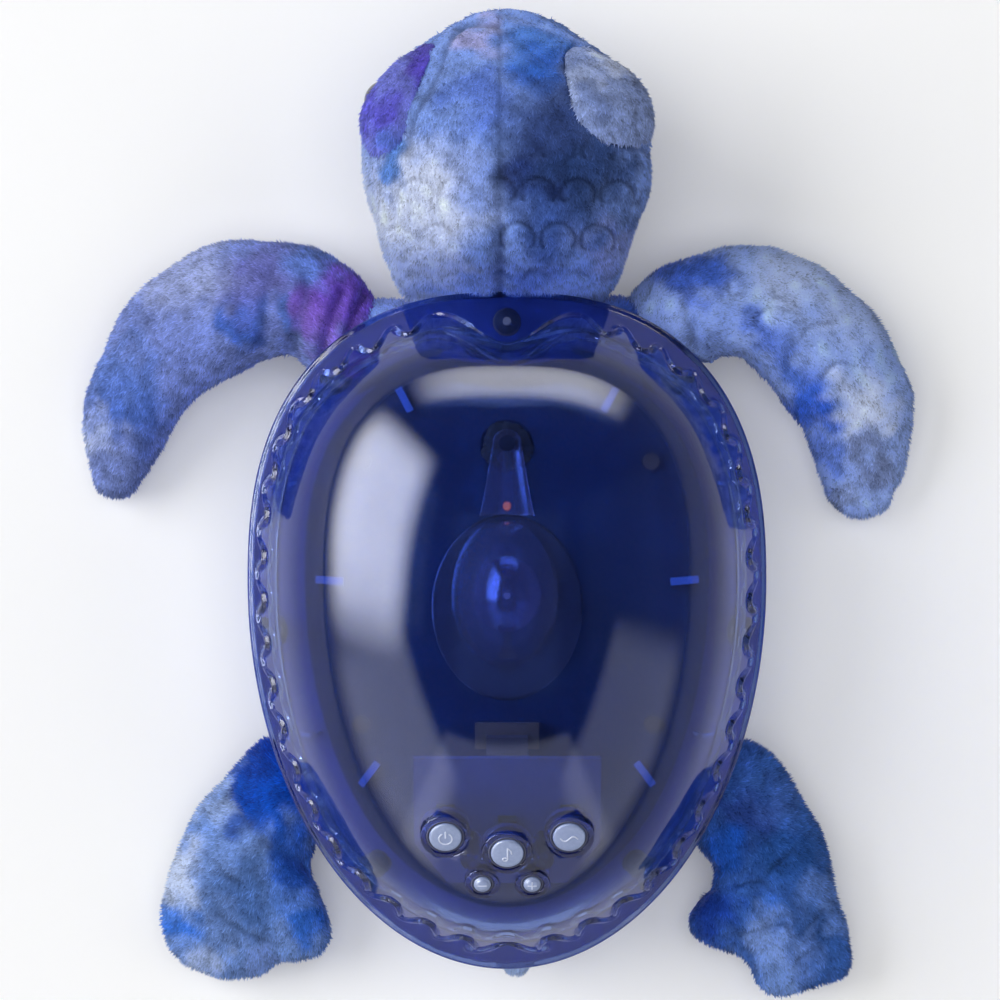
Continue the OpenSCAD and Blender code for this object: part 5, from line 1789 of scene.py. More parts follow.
class Sign(Enum):
    """Plain sign pressed into a button cap."""

    POWER = "power"
    NOTE = "note"
    WAVE = "wave"
    LESS = "less"
    MORE = "more"

    def strokes(self) -> list[Array]:
        """Lines of the sign in a unit circle.

        Returns:
            Points of each line.
        """
        arc = np.linspace(0, TURN, 40)
        if self is Sign.POWER:
            turn = math.pi / 2 + 0.6 + np.linspace(0, TURN - 1.2, 40)
            return [0.42 * np.column_stack([np.cos(turn), np.sin(turn)]),
                    np.array([[0, 0.08], [0, 0.3], [0, 0.52]])]
        if self is Sign.NOTE:
            head = np.column_stack([-0.14 + 0.15 * np.cos(arc[:-4]), -0.34 + 0.12 * np.sin(arc[:-4])])
            return [head, np.array([[0.02, -0.32], [0.02, 0.1], [0.02, 0.5]]),
                    through([(0.02, 0.5), (0.22, 0.32), (0.28, 0.1)], 12)]
        if self is Sign.WAVE:
            x = np.linspace(-0.55, 0.55, 30)
            return [np.column_stack([x, 0.18 * np.sin(x / 0.55 * math.pi)])]
        bar = np.array([[-0.5, 0], [0, 0], [0.5, 0]])
        return [bar] if self is Sign.LESS else [bar, bar[:, ::-1]]


@dataclass(frozen=True)
class Key:
    """One push button.

    Attributes:
        name: Name of the button.
        body: Moving body that it belongs to.
        u: Place across the panel.
        v: Place up the panel.
        r: Radius of the cap.
        sign: Sign on the cap.
    """

    name: str
    body: str
    u: float
    v: float
    r: float
    sign: Sign


@dataclass
class ButtonPanel:
    """Five push buttons in collars on the slope of the shell, over the tail.

    Attributes:
        origin: Middle of the panel on the dome.
        tilt: Degrees that the panel leans back.
        play: Gap round a cap.
        wall: Wall of a collar.
        inside: How far a collar reaches in.
        outside: How far it stands out.
        proud: How far a cap stands out.
        stem_end: Level of a stem's end under the panel.
        stem_r: Radius of a stem.
        lip: How far the lip that keeps a cap in stands out.
        shade_ring: Inner and outer gap between a cap and the faces of the dark ring that paints the shade round
            it.
        keys: The buttons, the three large ones first.
        posts: Places on the panel of the posts that carry the board.
    """

    origin: tuple[float, float, float] = (0.0, -72.0, 105.934)
    tilt: float = 31.117
    play: float = 1.0
    wall: float = 2.0
    inside: float = 6.5
    outside: float = 0.6
    proud: float = 1.1
    stem_end: float = -12.5
    stem_r: float = 2.0
    lip: float = 1.6
    shade_ring: Plan = (0.18, 0.95)
    keys: tuple[Key, ...] = (
        Key("power_button", "power_key", -20.5, 4.5, 5.45, Sign.POWER),
        Key("sound_button", "sound_key", 0.0, 0.0, 5.45, Sign.NOTE),
        Key("wave_button", "wave_key", 20.5, 4.5, 5.45, Sign.WAVE),
        Key("less_button", "less_key", -8.3, -13.6, 2.9, Sign.LESS),
        Key("more_button", "more_key", 8.3, -13.6, 2.9, Sign.MORE))
    posts: tuple[Plan, ...] = ((-12.0, -6.0), (12.0, -6.0))

    def frame(self, u: float = 0.0, v: float = 0.0, w: float = 0.0) -> Matrix:
        """Place on the panel, its third axis pointing out of the shell."""
        turn = Matrix.Rotation(math.radians(self.tilt), 4, "X")
        return Matrix.Translation(self.origin) @ turn @ Matrix.Translation((u, v, w))

    def face(self, u: float, v: float) -> float:
        """Level of the dome's outer face over a place on the panel.

        Args:
            u: Place across the panel.
            v: Place up the panel.

        Returns:
            The level along the panel's third axis.
        """
        low, high = -20.0, 5.0
        for _ in range(40):
            mid = (low + high) / 2
            p = np.array(self.frame(u, v, mid).translation)
            low, high = (mid, high) if p[2] < OUTLINE.dome_z(p[:2]) else (low, mid)
        return low

    def cutters(self, material: Material) -> list[Object]:
        """Round cutters for the holes that take the collars.

        Args:
            material: Any finish, as the cutters don't stay.

        Returns:
            One cutter for each button.
        """
        made = []
        top, deep, bite = 6, -9, 0.6
        for key in self.keys:
            r = key.r + self.play + self.wall - bite
            place = self.frame(key.u, key.v, self.face(key.u, key.v))
            plug = lathe([(0, top), (r, top), (r, deep), (0, deep)], 56, place)
            made.append(plug.piece(key.name + "_hole", material))
        return made

    def dress(self, clear: Material, cap: Material, line: Material,
              dark: Material, sleeves: SleeveTree) -> list[Object]:
        """Make the collars, posts, caps and signs, and the dark rings of painted shade round the caps.

        Args:
            clear: Finish of the collars and posts.
            cap: Finish of the caps.
            line: Finish of the signs.
            dark: Finish of the dark rings that paint the shade round the caps.
            sleeves: The tree that moulds the collars.

        Returns:
            The pieces made.
        """
        axis = np.array(self.frame().to_3x3().col[2])
        made = []
        for label, keys in (("large_collars", self.keys[:3]), ("small_collars", self.keys[3:])):
            middle = (self.outside - self.inside) / 2
            spots = [self.frame(k.u, k.v, self.face(k.u, k.v) + middle).translation for k in keys]
            collar = sleeves.mould(label, np.array(spots), axis, keys[0].r + self.play + self.wall, self.wall,
                                   self.inside + self.outside, clear)
            collar.visible_shadow = False
            made.append(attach(collar, "turtle"))
        # The posts run from under the shell's wall down to the board.
        under, board, outer, wall, tall = -2.4, -17.5, 3.4, 1.9, 13.0
        pillars = [self.frame(u, v, (self.face(u, v) + under + board) / 2).translation for u, v in self.posts]
        posts = sleeves.mould("board_posts", np.array(pillars), axis, outer, wall, tall, clear)
        posts.visible_shadow = False
        made.append(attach(posts, "turtle"))
        wells = []
        for key in self.keys:
            made += self.cap(key, cap, line)
            wells.append(self.well(key))
        # Painted shade: a dark ring fills the gap round each cap, where shade falls into the collar.
        shade_ring = Skin.merged(wells).piece("painted_key_well_shade", dark)
        made.append(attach(shade_ring, "turtle"))
        return made

    def well(self, key: Key) -> Skin:
        """Dark ring that lines the collar round one cap: painted shade in the gap round the cap.

        Args:
            key: The button.

        Returns:
            The ring's skin.
        """
        top, inner, outer = self.face(key.u, key.v), key.r + self.shade_ring[0], key.r + self.shade_ring[1]
        high, deep = top + 0.25, top - 5.4
        ring = [(inner, top - 0.5), (inner, high), (outer, high), (outer, deep), (inner, deep)]
        return lathe(ring, 64, self.frame(key.u, key.v), closed=True)

    def cap(self, key: Key, finish: Material, line: Material) -> list[Object]:
        """One crowned cap with its lip, stem and pressed sign.

        Args:
            key: The button.
            finish: Finish of the cap.
            line: Finish of the sign.

        Returns:
            The cap and its sign.
        """
        face, r = self.face(key.u, key.v), key.r
        top, lip = face + self.proud, face - self.inside - 0.3
        # Radius and level, from the middle of the crown down to the stem's end.
        crown = [(0, top + 0.3), (r * 0.45, top + 0.24), (r * 0.75, top + 0.1), (r - 0.75, top - 0.02),
                 (r - 0.35, top - 0.14), (r - 0.1, top - 0.38), (r, top - 0.75), (r, lip),
                 (r + self.lip, lip), (r + self.lip, lip - 1.2), (self.stem_r, lip - 1.2),
                 (self.stem_r, self.stem_end), (0, self.stem_end)]
        cap = lathe(crown, 64, self.frame(key.u, key.v)).piece(key.name + "_cap", finish)
        turn = np.array(self.frame(key.u, key.v))
        beads, bead_r = [], 0.26 if r > 4 else 0.2
        for stroke in key.sign.strokes():
            height = top + 0.3 * (1 - np.linalg.norm(stroke, axis=1) ** 2) + 0.02
            place = np.column_stack([stroke * (r * 0.95), height]) @ turn[:3, :3].T + turn[:3, 3]
            beads.append(cord_skin(place, bead_r))
        sign = Skin.merged(beads).piece(key.name + "_sign", line)
        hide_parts(key.name)
        for piece in (cap, sign):
            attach(piece, key.body)
        return [cap, sign]


# Hood over the projector.


@dataclass
class Hood:
    """Clear oval hood over the light wheel, with a flat flange and a stem that is screwed down.

    Attributes:
        middle: Place of the hood along the shell.
        half_w: Half its width.
        half_l: Half its length.
        height: Height over its flange.
        deck: Level of the deck.
        flange: Thickness of the flange.
        wall: Wall thickness.
        fillet: Size of the rounding between hood and flange.
        flange_w: Half the flange's width.
        flange_l: Half the flange's length.
        flange_y: Middle of the flange along the shell.
        stem_y: Place of the stem's screw along the shell.
        stem_root: Half the stem's width at the hood.
        stem_end: Half the stem's width at the screw.
        pad_r: Usual radius of the torn pad.
    """

    middle: float = 12.5
    half_w: float = 18.0
    half_l: float = 25.5
    height: float = 42.0
    deck: float = 50.0
    flange: float = 2.0
    wall: float = 1.6
    fillet: float = 1.2
    flange_w: float = 26.0
    flange_l: float = 32.0
    flange_y: float = 8.0
    stem_y: float = 64.5
    stem_root: float = 9.5
    stem_end: float = 5.0
    pad_r: float = 9.0

    def oval(self, y: float, half_w: float, half_l: float, z: float, sides: int = 144) -> Array:
        """One oval ring."""
        angle = np.arange(sides) * TURN / sides
        return np.column_stack([half_w * np.cos(angle), y + half_l * np.sin(angle), np.full(sides, z)])

    def skin(self) -> Skin:
        """Dome, fillet, flange and inner face.

        Returns:
            The closed skin.
        """
        base = self.deck + self.flange
        rings = []
        for fall in np.linspace(0, math.pi / 2, 34)[1:]:
            rings.append(self.oval(self.middle, self.half_w * math.sin(fall), self.half_l * math.sin(fall),
                                   base + self.fillet + (self.height - self.fillet) * math.cos(fall)))
        for out, z in ((0.35, 0.35), (self.fillet, 0.0)):
            rings.append(self.oval(self.middle, self.half_w + out, self.half_l + out, base + z))
        # Share of the way from the hood to the flange's edge, and level from the flange's top.
        for share, z in ((0.9, 0.0), (0.97, -0.15), (1.0, -0.6), (1.0, -1.7), (0.97, -2.0)):
            rings.append(self.oval(self.middle + (self.flange_y - self.middle) * share,
                                   self.half_w + (self.flange_w - self.half_w) * share,
                                   self.half_l + (self.flange_l - self.half_l) * share, base + z))
        for fall in np.linspace(math.pi / 2, 0, 30)[:-1]:
            rings.append(self.oval(self.middle, (self.half_w - self.wall) * math.sin(fall),
                                   (self.half_l - self.wall) * math.sin(fall),
                                   self.deck + (self.height + self.flange - self.wall) * math.cos(fall)))
        return Skin.tube(np.array(rings), np.array([0, self.middle, base + self.height]),
                         np.array([0, self.middle, base + self.height - self.wall]))

    def stem(self) -> Skin:
        """Flat tongue from the hood's front to its screw, with softened edges and a raised rib each side.

        Returns:
            The closed skin.
        """
        root = self.middle + self.half_l + 1.6
        rows = []
        for share in np.linspace(0, 1, 40):
            wide = self.stem_root + (self.stem_end - self.stem_root) * share ** 0.85
            rows.append((root + (self.stem_y - root) * share, wide))
        for turn in np.linspace(0, math.pi / 2, 14)[1:-1]:
            rows.append((self.stem_y + self.stem_end * math.sin(turn), self.stem_end * math.cos(turn)))
        # Share of half the width, and height over the deck.
        section = [(-1, 0.1), (-0.97, 0.0), (0.97, 0.0), (1, 0.1), (1, 2.4), (0.96, 2.7), (0.8, 2.7),
                   (0.74, 2.0), (-0.74, 2.0), (-0.8, 2.7), (-0.96, 2.7), (-1, 2.4)]
        rings = np.array([[(u * wide, y, self.deck + 0.02 + h) for u, h in section] for y, wide in rows])
        start = np.array([0, root, self.deck + 1])
        return Skin.tube(rings, start, np.array([0, self.stem_y + self.stem_end * 0.995, self.deck + 1]))

    def pad(self) -> Skin:
        """Torn foam pad under the stem's end, pitted all over and ragged round its edge.

        Returns:
            The closed skin.
        """
        sides, middle, bottom, pits, rise = 120, self.stem_y - 1, self.deck - 1.15, 0.25, 0.35
        angle = np.arange(sides) * TURN / sides
        ragged = self.pad_r * (1 + 0.05 * np.cos(3 * angle + 0.6) + 0.04 * np.cos(5 * angle + 2)
                               + 0.02 * np.cos(11 * angle))
        rings = []
        for share, z in ((0.3, 0.0), (0.8, 0.0), (0.96, -0.2), (1.0, -0.6), (0.97, -1.1)):
            rings.append(np.column_stack([ragged * share * np.cos(angle),
                                          middle + ragged * share * np.sin(angle),
                                          np.full(sides, self.deck + z)]))
        pad = Skin.tube(np.array(rings), np.array([0, middle, self.deck]), np.array([0, middle, bottom]))
        pad.push(pits * mottle(pad.points, 2.2, 5) - pits)
        pad.points[:, 2] += rise
        return pad

    def dress(self, clear: Material, foam: Material) -> list[Object]:
        """Make the hood with its stem, and the torn foam pad under the stem's end.

        Args:
            clear: Finish of the hood.
            foam: Finish of the pad.

        Returns:
            The pieces made.
        """
        hood = Skin.merged([self.skin(), self.stem()]).piece("light_hood", clear)
        hood.visible_shadow = False
        foot = self.pad().piece("foam_pad", foam)
        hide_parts("projector_hood")
        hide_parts("hood_pad")
        return [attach(hood, "turtle"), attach(foot, "turtle")]


# Works inside and underneath.


@dataclass
class Works:
    """Finishes for the frame's own nodes: deck, screws, projector, boards, speaker and battery bay.

    Attributes:
        finishes: Each finish with the nodes that wear it.
    """

    finishes: tuple[tuple[Finish, tuple[str, ...]], ...] = (
        # Moulded ABS has a fine spark-eroded grain and a soft, even gloss.
        (Finish("abs_base_moulded_blue", "#1d3a7a", "#223f84", 0.5, grain_mm=0.7, bump_mm=0.03, gleam=0.3),
         ("base_housing", "battery_door")),
        (Finish("abs_deck_moulded_dark", "#152b44", "#1b3551", 0.62, grain_mm=1.1, bump_mm=0.04, gleam=0.12),
         ("deck_plate", "gear_bracket")),
        # Clear styrene bars scatter light at their cut ends, so they look milky.
        (Finish("styrene_bar_milky", "#4f72a8", "#6686b8", 0.35, grain_mm=0.9), ("light_bars",)),
        # Passivated zinc has a warm yellow bloom in patches, and drawn wire leaves fine lines.
        (Finish("zinc_passivated_steel", "#a58c6c", "#c9ad84", 0.45, 0.5, 0.5, 0.02, Grain.DRAWN),
         ("shell_screws",)),
        # Bronzing leaves steel brown with a dull, uneven shine.
        (Finish("bronzed_steel", "#4a3a30", "#5e4a3c", 0.5, 0.4, 0.5, 0.02, Grain.DRAWN), ("deck_screws",)),
        # Black oxide keeps a little of the steel's shine under a charcoal skin.
        (Finish("black_oxide_steel", "#2b2a2e", "#3d3b40", 0.4, 0.8, 0.4, 0.02, Grain.DRAWN),
         ("hood_screw", "small_screws", "door_screws")),
        # Cast epoxy is glossy, and its chip makes all of it glow.
        (Finish("amber_led_epoxy", "#ff7a2a", "#ff9a4a", 0.2, glow=2.5), ("indicator_light",)),
        # Solder-masked laminate: glossy varnish over a woven base.
        (Finish("solder_mask_dark", "#1d1836", "#292148", 0.4, grain_mm=0.5, coat=0.3), ("light_board",)),
        (Finish("solder_mask_blue", "#284270", "#304c7e", 0.5, grain_mm=0.5, gleam=0.15), ("button_board",)),
        (Finish("solder_mask_green", "#1f5a3a", "#286b45", 0.35, grain_mm=0.5, coat=0.3), ("main_board",)),
        # Fired ceramic with a drop of phosphor is pale and slightly yellow in patches.
        (Finish("led_chip_ceramic", "#cfd2e6", "#e4e3c8", 0.35, grain_mm=0.4), ("light_emitters",)),
        # Metallised plastic mirrors softly; its violet is a painted reflection of the hood.
        (Finish("metallised_reflector", "#5a5478", "#726c90", 0.25, 0.7, 0.6), ("reflector_cup",)),
        # Acetal gears look waxy and slightly off-white.
        (Finish("acetal_gear_white", "#dad8ce", "#e6e4da", 0.38, grain_mm=0.6),
         ("spindle_gear", "motor_pinion", "power_plunger", "sound_plunger", "wave_plunger", "less_plunger",
          "more_plunger")),
        # Sintered bronze is oily brown, with pores that break its shine.
        (Finish("sintered_bronze", "#8a6a3c", "#a5814c", 0.5, 0.9, 0.25), ("spindle_bushes",)),
        # Nickel plate is bright and slightly warm, with the lines of the drawn sheet.
        (Finish("nickel_plated_steel", "#b4b3b0", "#c6c5c2", 0.28, 1.0, 0.3, 0.01, Grain.DRAWN),
         ("wheel_spindle", "motor_can", "motor_shaft", "battery_contacts", "speaker_basket")),
        # Moulded nylon has a satin gloss.
        (Finish("nylon_moulded_black", "#1b1b1d", "#29292c", 0.45, grain_mm=0.6),
         ("motor_end_cap", "board_chips", "tact_switches")),
        (Finish("nylon_connector_tan", "#765a3b", "#846645", 0.45, grain_mm=0.7), ("cable_socket",)),
        # Extruded PVC has a soft sheen; pressed ferrite is dull and finely gritty.
        (Finish("ribbon_cable_brown", "#594434", "#6a5340", 0.5, grain_mm=1.2), ("button_cable",)),
        (Finish("ferrite_magnet", "#26262a", "#34343a", 0.6, grain_mm=0.3, bump_mm=0.03),
         ("speaker_magnet",)),
        # Pressed paper pulp has short felted fibres and no gloss.
        (Finish("paper_speaker_cone", "#1d1c1c", "#2c2a29", 0.85, grain_mm=0.35, bump_mm=0.08),
         ("speaker_cone",)),
        # Cut foam is matt and pitted.
        (Finish("eva_foam_gasket", "#232326", "#323236", 0.9, grain_mm=0.5, bump_mm=0.12),
         ("speaker_gasket",)),
        # Shrunk film is glossy and follows the cell; the leads' PVC has a soft sheen.
        (Finish("shrink_sleeve_cell", "#3d5a78", "#4a6a8a", 0.3, grain_mm=1.5, coat=0.4), ("battery_cells",)),
        (Finish("pvc_lead_red", "#8e2a28", "#a23532", 0.4, grain_mm=0.8), ("battery_lead", "speaker_lead")),
        (Finish("pvc_lead_black", "#202024", "#2c2c31", 0.4, grain_mm=0.8), ("motor_lead",)))

    def dress(self, nodes: dict[str, Object]) -> int:
        """Give each carried node its finish.

        Args:
            nodes: The frame's nodes by name.

        Returns:
            How many nodes were dressed.
        """
        count = 0
        for finish, names in self.finishes:
            material = finish.build()
            for name in names:
                slots = nodes[name].data.materials
                slots.clear()
                slots.append(material)
                count += 1
        return count


# Studio.


@dataclass(frozen=True)
class Softbox:
    """One area lamp.

    Attributes:
        name: Its name.
        place: Where it stands.
        size: Width and height of its face.
        radiance: Brightness of its face.
        blur: How far its face fades inwards from its edges, 0.25 for all the way.
        mirrored: Whether glossy surfaces show it.
        lights: Whether dull surfaces are lit by it.
        aim: The place that it faces.
    """

    name: str
    place: tuple[float, float, float]
    size: tuple[float, float]
    radiance: float
    blur: float = 0.1
    mirrored: bool = True
    lights: bool = True
    aim: tuple[float, float, float] = (0.0, 30.0, 60.0)


@dataclass
class Studio:
    """Pale floor, soft lamps and the camera straight above.

    Attributes:
        camera: Place of the camera.
        lens: Focal length for a 36 mm sensor.
        ambient: Brightness of the room's walls; its ceiling is dark.
        boxes: The lamps.
    """

    camera: tuple[float, float, float] = (-2.4, 45.0, 1500.0)
    lens: float = 151.3
    ambient: float = 0.24
    boxes: tuple[Softbox, ...] = (
        Softbox("left_box", (-2440.0, 980.0, 1250.0), (3900.0, 2700.0), 26.0, 0.22, lights=False),
        Softbox("tail_wall", (0.0, -2230.0, 1650.0), (4300.0, 3300.0), 2.3, 0.08, lights=False,
                aim=(0.0, 0.0, 1650.0)),
        Softbox("tail_left", (-2500.0, -1750.0, 1600.0), (3500.0, 3200.0), 4.6, 0.18, lights=False,
                aim=(0.0, 0.0, 1600.0)),
        Softbox("tail_right", (2500.0, -1750.0, 1500.0), (3300.0, 3000.0), 2.6, 0.16, lights=False,
                aim=(0.0, 0.0, 1500.0)),
        Softbox("front_strip", (300.0, 2600.0, 390.0), (3600.0, 1000.0), 15.0, 0.25, lights=False),
        Softbox("left_key", (-2298.0, 702.0, 1621.0), (2600.0, 2340.0), 4.1, mirrored=False),
        Softbox("right_fill", (2300.0, 300.0, 1600.0), (2600.0, 2300.0), 1.0, mirrored=False),
        Softbox("tail_fill", (0.0, -2300.0, 1500.0), (2600.0, 2300.0), 0.9, mirrored=False),
        Softbox("ceiling_fill", (0.0, 45.0, 3000.0), (3000.0, 3000.0), 1.7, mirrored=False))

    def build(self) -> None:
        """Set up the floor, the world, the lamps and the camera."""
        scene = bpy.context.scene
        scene.view_settings.view_transform = "Standard"
        self.floor()
        world = bpy.data.worlds.new("studio")
        world.use_nodes = True
        tree = world.node_tree
        put = partial(add_node, tree)
        shade = tree.nodes["Background"]
        shade.inputs["Color"].default_value = linear("#f4f6ff")
        where = put("ShaderNodeTexCoord")
        way = put("ShaderNodeSeparateXYZ", None, {0: where.outputs["Generated"]})
        fade = put("ShaderNodeMapRange",
                   {"From Min": 0.05, "From Max": 0.6, "To Min": self.ambient, "To Max": 0.02},
                   {"Value": way.outputs["Z"]})
        tree.links.new(fade.outputs[0], shade.inputs["Strength"])
        scene.world = world
        for box in self.boxes:
            data = bpy.data.lights.new(box.name, "AREA")
            data.shape = "RECTANGLE"
            data.size, data.size_y = box.size[0] * MM, box.size[1] * MM
            data.energy = box.radiance * math.pi * data.size * data.size_y
            lamp = link_object(bpy.data.objects.new(box.name, data))
            lamp.location = Vector(box.place) * MM
            lamp.rotation_euler = (Vector(box.aim) - Vector(box.place)).to_track_quat("-Z", "Y").to_euler()
            lamp.visible_glossy, lamp.visible_diffuse = box.mirrored, box.lights
            self.soften(data, box.blur)
        data = bpy.data.cameras.new("camera")
        data.lens, data.sensor_width, data.clip_end = self.lens, 36.0, 100.0
        camera = link_object(bpy.data.objects.new("camera", data))
        camera.location = Vector(self.camera) * MM
        scene.camera = camera

    @staticmethod
    def soften(data: Light, blur: float) -> None:
        """Let a lamp's face fade towards its edges, as a diffuser cloth does.

        Args:
            data: The lamp.
            blur: How far its face fades inwards from its edges.
        """
        data.use_nodes = True
        tree = data.node_tree
        put = partial(add_node, tree)
        face = put("ShaderNodeNewGeometry")
        across = put("ShaderNodeSeparateXYZ", None, {0: face.outputs["Parametric"]})
        fades = []
        for axis in ("X", "Y"):
            rest = put("ShaderNodeMath", {"operation": "SUBTRACT", 0: 1.0}, {1: across.outputs[axis]})
            hill = put("ShaderNodeMath", {"operation": "MULTIPLY"}, {0: rest, 1: across.outputs[axis]})
            fades.append(put("ShaderNodeMapRange", {"interpolation_type": "SMOOTHSTEP", "From Max": blur},
                             {"Value": hill}))
        level = put("ShaderNodeMath", {"operation": "MULTIPLY"}, {0: fades[0], 1: fades[1]})
        tree.links.new(level.outputs[0], tree.nodes["Emission"].inputs["Strength"])

    def floor(self) -> None:
        """White paper sweep with a little glow of its own for what looks at it, straight or by reflection."""
        reach, level = 15.0, -0.0004
        corners = ((-reach, -reach), (reach, -reach), (reach, reach), (-reach, reach))
        mesh = bpy.data.meshes.new("floor")
        mesh.from_pydata([(x, y, level) for x, y in corners], [], [(0, 1, 2, 3)])
        material, tree, shader = new_material("paper_sweep_white", {
            "Base Color": linear("#f3f3f3"), "Roughness": 0.9, "Specular IOR Level": 0.1,
            "Emission Color": linear("#ffffff")})
        put = partial(add_node, tree)
        path = put("ShaderNodeLightPath")
        seen = path.outputs["Is Camera Ray"]
        for other in ("Is Glossy Ray", "Is Transmission Ray"):
            seen = put("ShaderNodeMath", {"operation": "MAXIMUM"},
                       {0: seen, 1: path.outputs[other]}).outputs[0]
        glow = put("ShaderNodeMath", {"operation": "MULTIPLY", 1: 0.12}, {0: seen})
        tree.links.new(glow.outputs[0], shader.inputs["Emission Strength"])
        mesh.materials.append(material)
        link_object(bpy.data.objects.new("floor", mesh))


# This turtle.

# A short line that is pressed into the plush.
PRESSED = {"depth": 0.8, "width": 1.0, "parting": 0.5}


def plush_head() -> Head:
    """The head: pale on its left, deep blue on its right partly as print and partly as painted shade, with a
    middle seam and brow creases.

    Returns:
        The piece.
    """
    # The deep blue clouds right of the middle seam are partly print and partly painted shade of the head's
    # right side.
    spots = (DyeSpot(-31, 144, 26, "#dbe4fb", 0.92), DyeSpot(-33, 123, 16, "#b4c4ee", 0.75),
             DyeSpot(-13, 154, 12, "#8098d8", 0.6), DyeSpot(-8, 203, 9, "#b4b2e0", 0.8),
             DyeSpot(9, 200, 13, "#5380d2", 0.9), DyeSpot(10, 190, 10, "#3b68c6", 0.8),
             DyeSpot(-10, 179, 12, "#5570c4", 0.7), DyeSpot(14, 166, 24, "#26386f", 0.87),
             DyeSpot(8, 152, 13, "#22326a", 0.82), DyeSpot(30, 154, 17, "#2b4174", 0.82),
             DyeSpot(16, 136, 14, "#38539a", 0.8), DyeSpot(30, 134, 10, "#5f77ba", 0.6),
             DyeSpot(38, 130, 10, "#8f9cd6", 0.7), DyeSpot(7, 119, 11, "#4c6ab8", 0.75),
             DyeSpot(-38, 162, 7, "#5a87d4", 0.9))
    grooves = (Groove(tuple((HEAD_SEAM, y) for y in (212, 195, 174, 154)), 0.55, 1.1, 0.5),
               Groove(tuple((HEAD_SEAM, y) for y in (154, 140, 128, 114)), 2.0, 2.2, 0.6),
               Groove(((-17.7, 208), (-10.6, 208.7), (-3.4, 208)), 0.9, 1.1),
               Groove(((-15.7, 208), (-20.5, 199), (-24, 188), (-30, 176), (-34, 162)), 1.0, 1.2),
               Groove(((23.5, 201), (20.7, 194.4), (23.8, 184), (30.6, 172), (38.4, 165.8), (48.6, 164.5)),
                      1.5, 1.5, 0.7))
    return Head("plush_head", "head", "#839ee0", seed=3, density=1.8, lumps=0.5, spots=spots, grooves=grooves)


def plush_eyelid_left(head: Head) -> Eyelid:
    """The left lid, violet.

    Args:
        head: The head that it is sewn to.

    Returns:
        The piece.
    """
    spots = (DyeSpot(-27, 194, 9, "#4f40aa", 0.85), DyeSpot(-43, 177, 8, "#5248b8", 0.7),
             DyeSpot(-38, 167, 7, "#5f78d0", 0.8))
    return Eyelid("plush_eyelid_left", "eyelid_left", "#6f76c8", seed=41, slot="plush_violet", side=-1.0,
                  head=head, lumps=0.2, rise=3.0, spots=spots)


def plush_eyelid_right(head: Head) -> Eyelid:
    """The right lid, pale.

    Args:
        head: The head that it is sewn to.

    Returns:
        The piece.
    """
    spots = (DyeSpot(36, 196, 9, "#d0daf4", 0.8), DyeSpot(31, 178, 7, "#7486b8", 0.7),
             DyeSpot(45, 170, 8, "#8798c6", 0.6), DyeSpot(25, 188, 6, "#b4c3ea", 0.6))
    return Eyelid("plush_eyelid_right", "eyelid_right", "#8fa0ce", seed=47, slot="plush_pale", side=1.0,
                  head=head, middle=(36.5, 183.0), half=(27.5, 17.2), lumps=0.2, rise=4.2, spots=spots)


def plush_front_left() -> SweptLimb:
    """The left front flipper, violet and gathered at its root.

    Returns:
        The piece.
    """
    stations = ((16, -14, 15, 14, 22), (4, 7, 17, 16, 22), (-11.5, 17.4, 19.5, 17, 21),
                (-33.3, 16.3, 21.3, 17, 19), (-55, 4.5, 20.6, 15, 16.5), (-68.5, -15.7, 16.5, 12.5, 13.5),
                (-73.8, -33.6, 12.7, 10, 11), (-76.6, -45, 7.7, 6.5, 9))
    spots = (DyeSpot(-55, 112, 17, "#785ac2", 0.95), DyeSpot(-66, 107, 10, "#8468c2", 0.7),
             DyeSpot(-92, 108, 8, "#3f64ba", 0.8), DyeSpot(-76, 108, 6, "#4d72c0", 0.7),
             DyeSpot(-84, 121, 16, "#6a6cb0", 0.8), DyeSpot(-66, 130, 12, "#6886d4", 0.7),
             DyeSpot(-112, 126, 20, "#b4bee4", 0.6), DyeSpot(-136, 85, 16, "#627ec6", 0.8),
             DyeSpot(-130, 74, 13, "#4f6cba", 0.7), DyeSpot(-145, 67, 10, "#bcc8ea", 0.8),
             DyeSpot(-139, 52, 13, "#7483b6", 0.75), DyeSpot(-118, 100, 12, "#8292d0", 0.6))
    grooves = (Groove(((-64.4, 95), (-61.5, 106), (-57, 118)), 3.0, 2.1, 0.3),
               Groove(((-56, 98), (-52.5, 110), (-48.5, 119)), 2.6, 2.0, 0.3),
               Groove(((-75, 94), (-72, 108), (-69, 121)), 1.8, 2.8, 0.3),
               Groove(((-86, 98), (-84.5, 112), (-81.5, 125)), 1.2, 2.6, 0.3))
    return SweptLimb("plush_front_left", "front_left_flipper", "#7787c2", seed=5, anchor=(-62.4, 97.3),
                     tip=(-0.5, -6.0), stations=stations, spots=spots, grooves=grooves)


